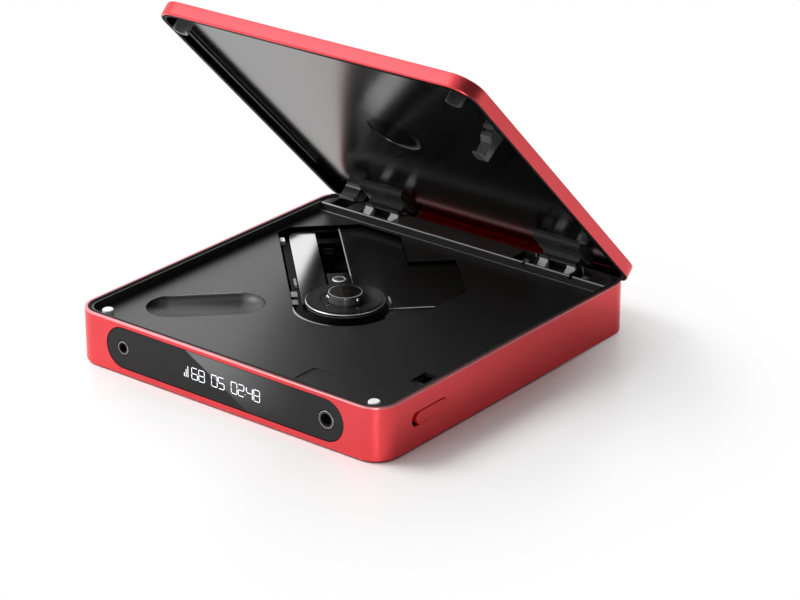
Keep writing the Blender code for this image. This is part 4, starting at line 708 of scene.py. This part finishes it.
def stroke(form, start, end, y):
    """Adds one lit bar in front of the window, between two places (x, z)."""
    along = Vector((end[0] - start[0], end[1] - start[1]))
    middle = Vector(((start[0] + end[0]) / 2, y, (start[1] + end[1]) / 2))
    turn = Matrix.Rotation(-math.atan2(along.y, along.x), 4, "Y")
    size = Matrix.Diagonal((along.length, BAR_DEPTH, BAR_WIDTH, 1.0))
    bmesh.ops.create_cube(form, size=1.0, matrix=Matrix.Translation(middle) @ turn @ size)


def display_digits():
    """A level mark and plain numbers in lit bars on the window."""
    form = bmesh.new()
    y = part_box("front_window")[0].y - BAR_DEPTH / 2
    top, bottom = DIGIT_TOP, DIGIT_BOTTOM
    middle = (bottom + top) / 2
    for x, sign in DIGITS:
        left = DISPLAY_LEFT + x * MM
        right = left + DIGIT_WIDTH
        bars = {"a": ((left + BAR_GAP, top), (right - BAR_GAP, top)),
                "b": ((right, top - BAR_GAP), (right, middle + BAR_GAP)),
                "c": ((right, middle - BAR_GAP), (right, bottom + BAR_GAP)),
                "d": ((left + BAR_GAP, bottom), (right - BAR_GAP, bottom)),
                "e": ((left, middle - BAR_GAP), (left, bottom + BAR_GAP)),
                "f": ((left, top - BAR_GAP), (left, middle + BAR_GAP)),
                "g": ((left + BAR_GAP, middle), (right - BAR_GAP, middle))}
        for bar in BARS_OF[sign]:
            stroke(form, *bars[bar], y)
    for x, height in LEVELS:
        left = DISPLAY_LEFT + x * MM
        stroke(form, (left, bottom), (left, bottom + (top - bottom) * height), y)
    x = DISPLAY_LEFT + COLON * MM
    for z in ((bottom * 3 + top) / 4, (bottom + top * 3) / 4):
        stroke(form, (x - BAR_WIDTH / 2, z), (x + BAR_WIDTH / 2, z), y)
    own("display_digits", form, "lit", "base", "white_rubber")


display_digits()


def repeated(name, unit, places, look, body, slot):
    """Sets copies of a small form on points with Geometry Nodes, and makes one plain piece of them."""
    mesh = bpy.data.meshes.new(name + "_points")
    mesh.from_pydata([tuple(place) for place in places], [], [])
    holder = bpy.data.objects.new(name + "_points", mesh)
    shape = bpy.data.meshes.new(name + "_unit")
    unit.to_mesh(shape)
    unit.free()
    sample = bpy.data.objects.new(name + "_unit", shape)
    for item in (holder, sample):
        player.objects.link(item)
    tree = bpy.data.node_groups.new(name + "_layout", "GeometryNodeTree")
    tree.interface.new_socket("Geometry", in_out="INPUT", socket_type="NodeSocketGeometry")
    size_socket = tree.interface.new_socket("Unit size", in_out="INPUT", socket_type="NodeSocketFloat")
    tree.interface.new_socket("Geometry", in_out="OUTPUT", socket_type="NodeSocketGeometry")
    wiring = Wiring(tree)
    entry = wiring.node("NodeGroupInput").outputs
    unit_shape = wiring.node("GeometryNodeObjectInfo", {}, {"Object": sample}).outputs["Geometry"]
    spread = wiring.node("GeometryNodeInstanceOnPoints", {},
                         {"Points": entry["Geometry"], "Instance": unit_shape, "Scale": entry["Unit size"]})
    real = wiring.node("GeometryNodeRealizeInstances", {}, [spread.outputs[0]])
    finished = wiring.node("GeometryNodeSetMaterial", {}, {0: real.outputs[0], "Material": FINISH[look]})
    wiring.node("NodeGroupOutput", {}, [finished.outputs[0]])
    layout = holder.modifiers.new("layout", "NODES")
    layout.node_group = tree
    layout[size_socket.identifier] = 1.0
    graph = bpy.context.evaluated_depsgraph_get()
    form = bmesh.new()
    form.from_mesh(bpy.data.meshes.new_from_object(holder.evaluated_get(graph)))
    for item in (holder, sample):
        bpy.data.objects.remove(item)
    own(name, form, look, body, slot)


def turned_form(profile, steps):
    """A profile of (radius, height) turned about Z, closed at the axis."""
    form = bmesh.new()
    rings = []
    for radius, height in profile:
        if radius == 0:
            rings.append([form.verts.new((0, 0, height))])
        else:
            angles = [step * 2 * math.pi / steps for step in range(steps)]
            rings.append([form.verts.new((radius * math.cos(angle), radius * math.sin(angle), height))
                          for angle in angles])
    for upper, lower in zip(rings, rings[1:]):
        for step in range(steps):
            after = (step + 1) % steps
            corners = [upper[step % len(upper)], lower[step % len(lower)], lower[after % len(lower)],
                       upper[after % len(upper)]]
            corners = [corner for index, corner in enumerate(corners) if corner not in corners[:index]]
            if len(corners) > 2:
                form.faces.new(corners)
    bmesh.ops.recalc_face_normals(form, faces=form.faces)
    return form


def cross_screw(radius, height, up):
    """A screw head with a cross on its face, which looks up (1) or down (-1)."""
    dome = height * 0.35
    form = turned_form([(0, up * height), (radius * 0.55, up * height), (radius * 0.9, up * (height - dome * 0.5)),
                        (radius, up * (height - dome)), (radius, 0), (0, 0)], 24)
    for wide, deep in ((radius * 0.55, radius * 0.14), (radius * 0.14, radius * 0.55)):
        for vertex in bmesh.ops.create_cube(form, size=1.0)["verts"]:
            vertex.co = Vector((vertex.co.x * 2 * wide, vertex.co.y * 2 * deep,
                                vertex.co.z * height * 0.1 + up * height))
    return form


SCREW_RADIUS = 0.0016
SCREW_HEIGHT = 0.0006
SCREW_SEAT = 0.0008
# The seats' inset from the casing's faces, less the inset of the cover itself
SCREW_INSET = (27.0 - 2.7) * MM

low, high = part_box("bottom_cover")
screw_places = [(x, y, low.z + SCREW_SEAT) for x in (low.x + SCREW_INSET, high.x - SCREW_INSET)
                for y in (low.y + SCREW_INSET, high.y - SCREW_INSET)]
repeated("bottom_screws", cross_screw(SCREW_RADIUS, SCREW_HEIGHT, -1), screw_places, "steel", "base",
         "bright_steel")


def mechanism_piece(name, look, slot, *blocks):
    """Makes a piece of boxes along the mechanism's axes, each with its spans across, along and up in millimetres."""
    form = bmesh.new()
    turn = Matrix.Translation((HUB.x, HUB.y, 0)) @ Matrix.Rotation(MECHANISM_ANGLE, 4, "Z")
    for spans in blocks:
        middle = Matrix.Translation([(start + end) / 2 * MM for start, end in spans])
        size = Matrix.Diagonal((*((end - start) * MM for start, end in spans), 1.0))
        bmesh.ops.create_cube(form, size=1.0, matrix=turn @ middle @ size)
    own(name, form, look, "base", slot)


mechanism_piece("cover_clips", "plated", "motor_steel",
                ((-17.6, -16.6), (26.0, 33.0), (14.2, 15.6)),
                ((-19.6, -17.2), (15.5, 20.5), (14.0, 15.4)),
                ((-19.8, -17.6), (8.0, 12.5), (14.0, 15.4)))
mechanism_piece("cover_tab", "white", "white_rubber", ((-19.9, -17.9), (70.0, 74.0), (14.6, 16.4)))

FLOOR_REACH = 3
FLOOR_CENTRE = 0.030


def floor_look():
    """Pale floor that keeps the shadow near the player and runs out to white."""
    look = Look("pale_floor", grey(0.95), 0.28, 0.0, Specular_IOR_Level=0.35)
    look.feed("Roughness", look.noise(4.0, 2.0) * 0.06 + 0.25)
    away = reach_of(look.x, look.y + FLOOR_CENTRE).ramp(0.08, 0.20)
    seen = Value(look, look.node("ShaderNodeLightPath").outputs["Is Camera Ray"])
    white = look.node("ShaderNodeEmission", {}, {"Color": (1, 1, 1, 1), "Strength": 1.0})
    blend = look.node("ShaderNodeMixShader", {}, [seen * away, look.shader.outputs[0], white.outputs[0]])
    look.tree.links.new(blend.outputs[0], look.tree.nodes["Material Output"].inputs["Surface"])
    return look.material


floor_mesh = bpy.data.meshes.new("floor")
floor_mesh.from_pydata([(FLOOR_REACH * x, FLOOR_REACH * y, 0) for x, y in ((-1, -1), (1, -1), (1, 1), (-1, 1))],
                       [], [(0, 1, 2, 3)])
floor = bpy.data.objects.new("floor", floor_mesh)
scene.collection.objects.link(floor)
floor_mesh.materials.append(floor_look())


def studio_world():
    """Light that falls off from left to right. The camera and clear pieces see a plain pale world instead."""
    world = bpy.data.worlds.new("studio")
    world.use_nodes = True
    world.node_tree.nodes.clear()
    wiring = Wiring(world.node_tree)
    direction = wiring.node("ShaderNodeTexCoord").outputs["Generated"]
    sideways = wiring.value("ShaderNodeSeparateXYZ", {}, [direction], "X")
    strength = sideways.ramp(-0.35, 0.65, 1.0, 0.06)
    light = wiring.node("ShaderNodeBackground", {}, {"Color": (1, 1, 1, 1), "Strength": strength})
    plain = wiring.node("ShaderNodeBackground", {}, {"Strength": 1.0})
    path = wiring.node("ShaderNodeLightPath").outputs
    seen = Value(wiring, path["Is Camera Ray"]).high(Value(wiring, path["Is Transmission Ray"]))
    mixed = wiring.node("ShaderNodeMixShader", {}, [seen, light.outputs[0], plain.outputs[0]])
    wiring.node("ShaderNodeOutputWorld", {}, {"Surface": mixed.outputs[0]})
    return world


def soft_lamp(name, place, target, size, power):
    data = bpy.data.lights.new(name, "AREA")
    data.shape = "RECTANGLE"
    data.size, data.size_y = size
    data.energy = power
    lamp = bpy.data.objects.new(name, data)
    lamp.location = place
    lamp.rotation_mode = "QUATERNION"
    lamp.rotation_quaternion = (Vector(target) - Vector(place)).to_track_quat("-Z", "Y")
    scene.collection.objects.link(lamp)
    return lamp


scene.world = studio_world()
key = soft_lamp("key_from_left", (-0.70, -0.35, 0.85), (0, 0, 0), (0.5, 0.5), 8.0)
key.visible_glossy = False
soft_lamp("gleam_from_front", (-0.60, -0.45, 0.85), (0, 0, 0), (0.5, 0.5), 1.8)
strip = soft_lamp("low_front_strip", (0.48, -0.62, 0.10), (0, 0, 0.03), (0.10, 0.20), 2.0)
strip.visible_diffuse = False

AZIMUTH = math.radians(38.453)
ELEVATION = math.radians(23.585)
camera_data = bpy.data.cameras.new("camera")
camera_data.lens = 130.76
camera_data.sensor_width = 36.0
camera_data.clip_start = 0.01
camera = bpy.data.objects.new("camera", camera_data)
camera.location = (0.65239, -0.71608 - FRONT_TO_ORIGIN, 0.46687)
towards = Vector((-math.sin(AZIMUTH) * math.cos(ELEVATION), math.cos(AZIMUTH) * math.cos(ELEVATION),
                  -math.sin(ELEVATION)))
camera.rotation_mode = "QUATERNION"
camera.rotation_quaternion = towards.to_track_quat("-Z", "Y")
scene.collection.objects.link(camera)
scene.camera = camera
scene.view_settings.view_transform = "Standard"
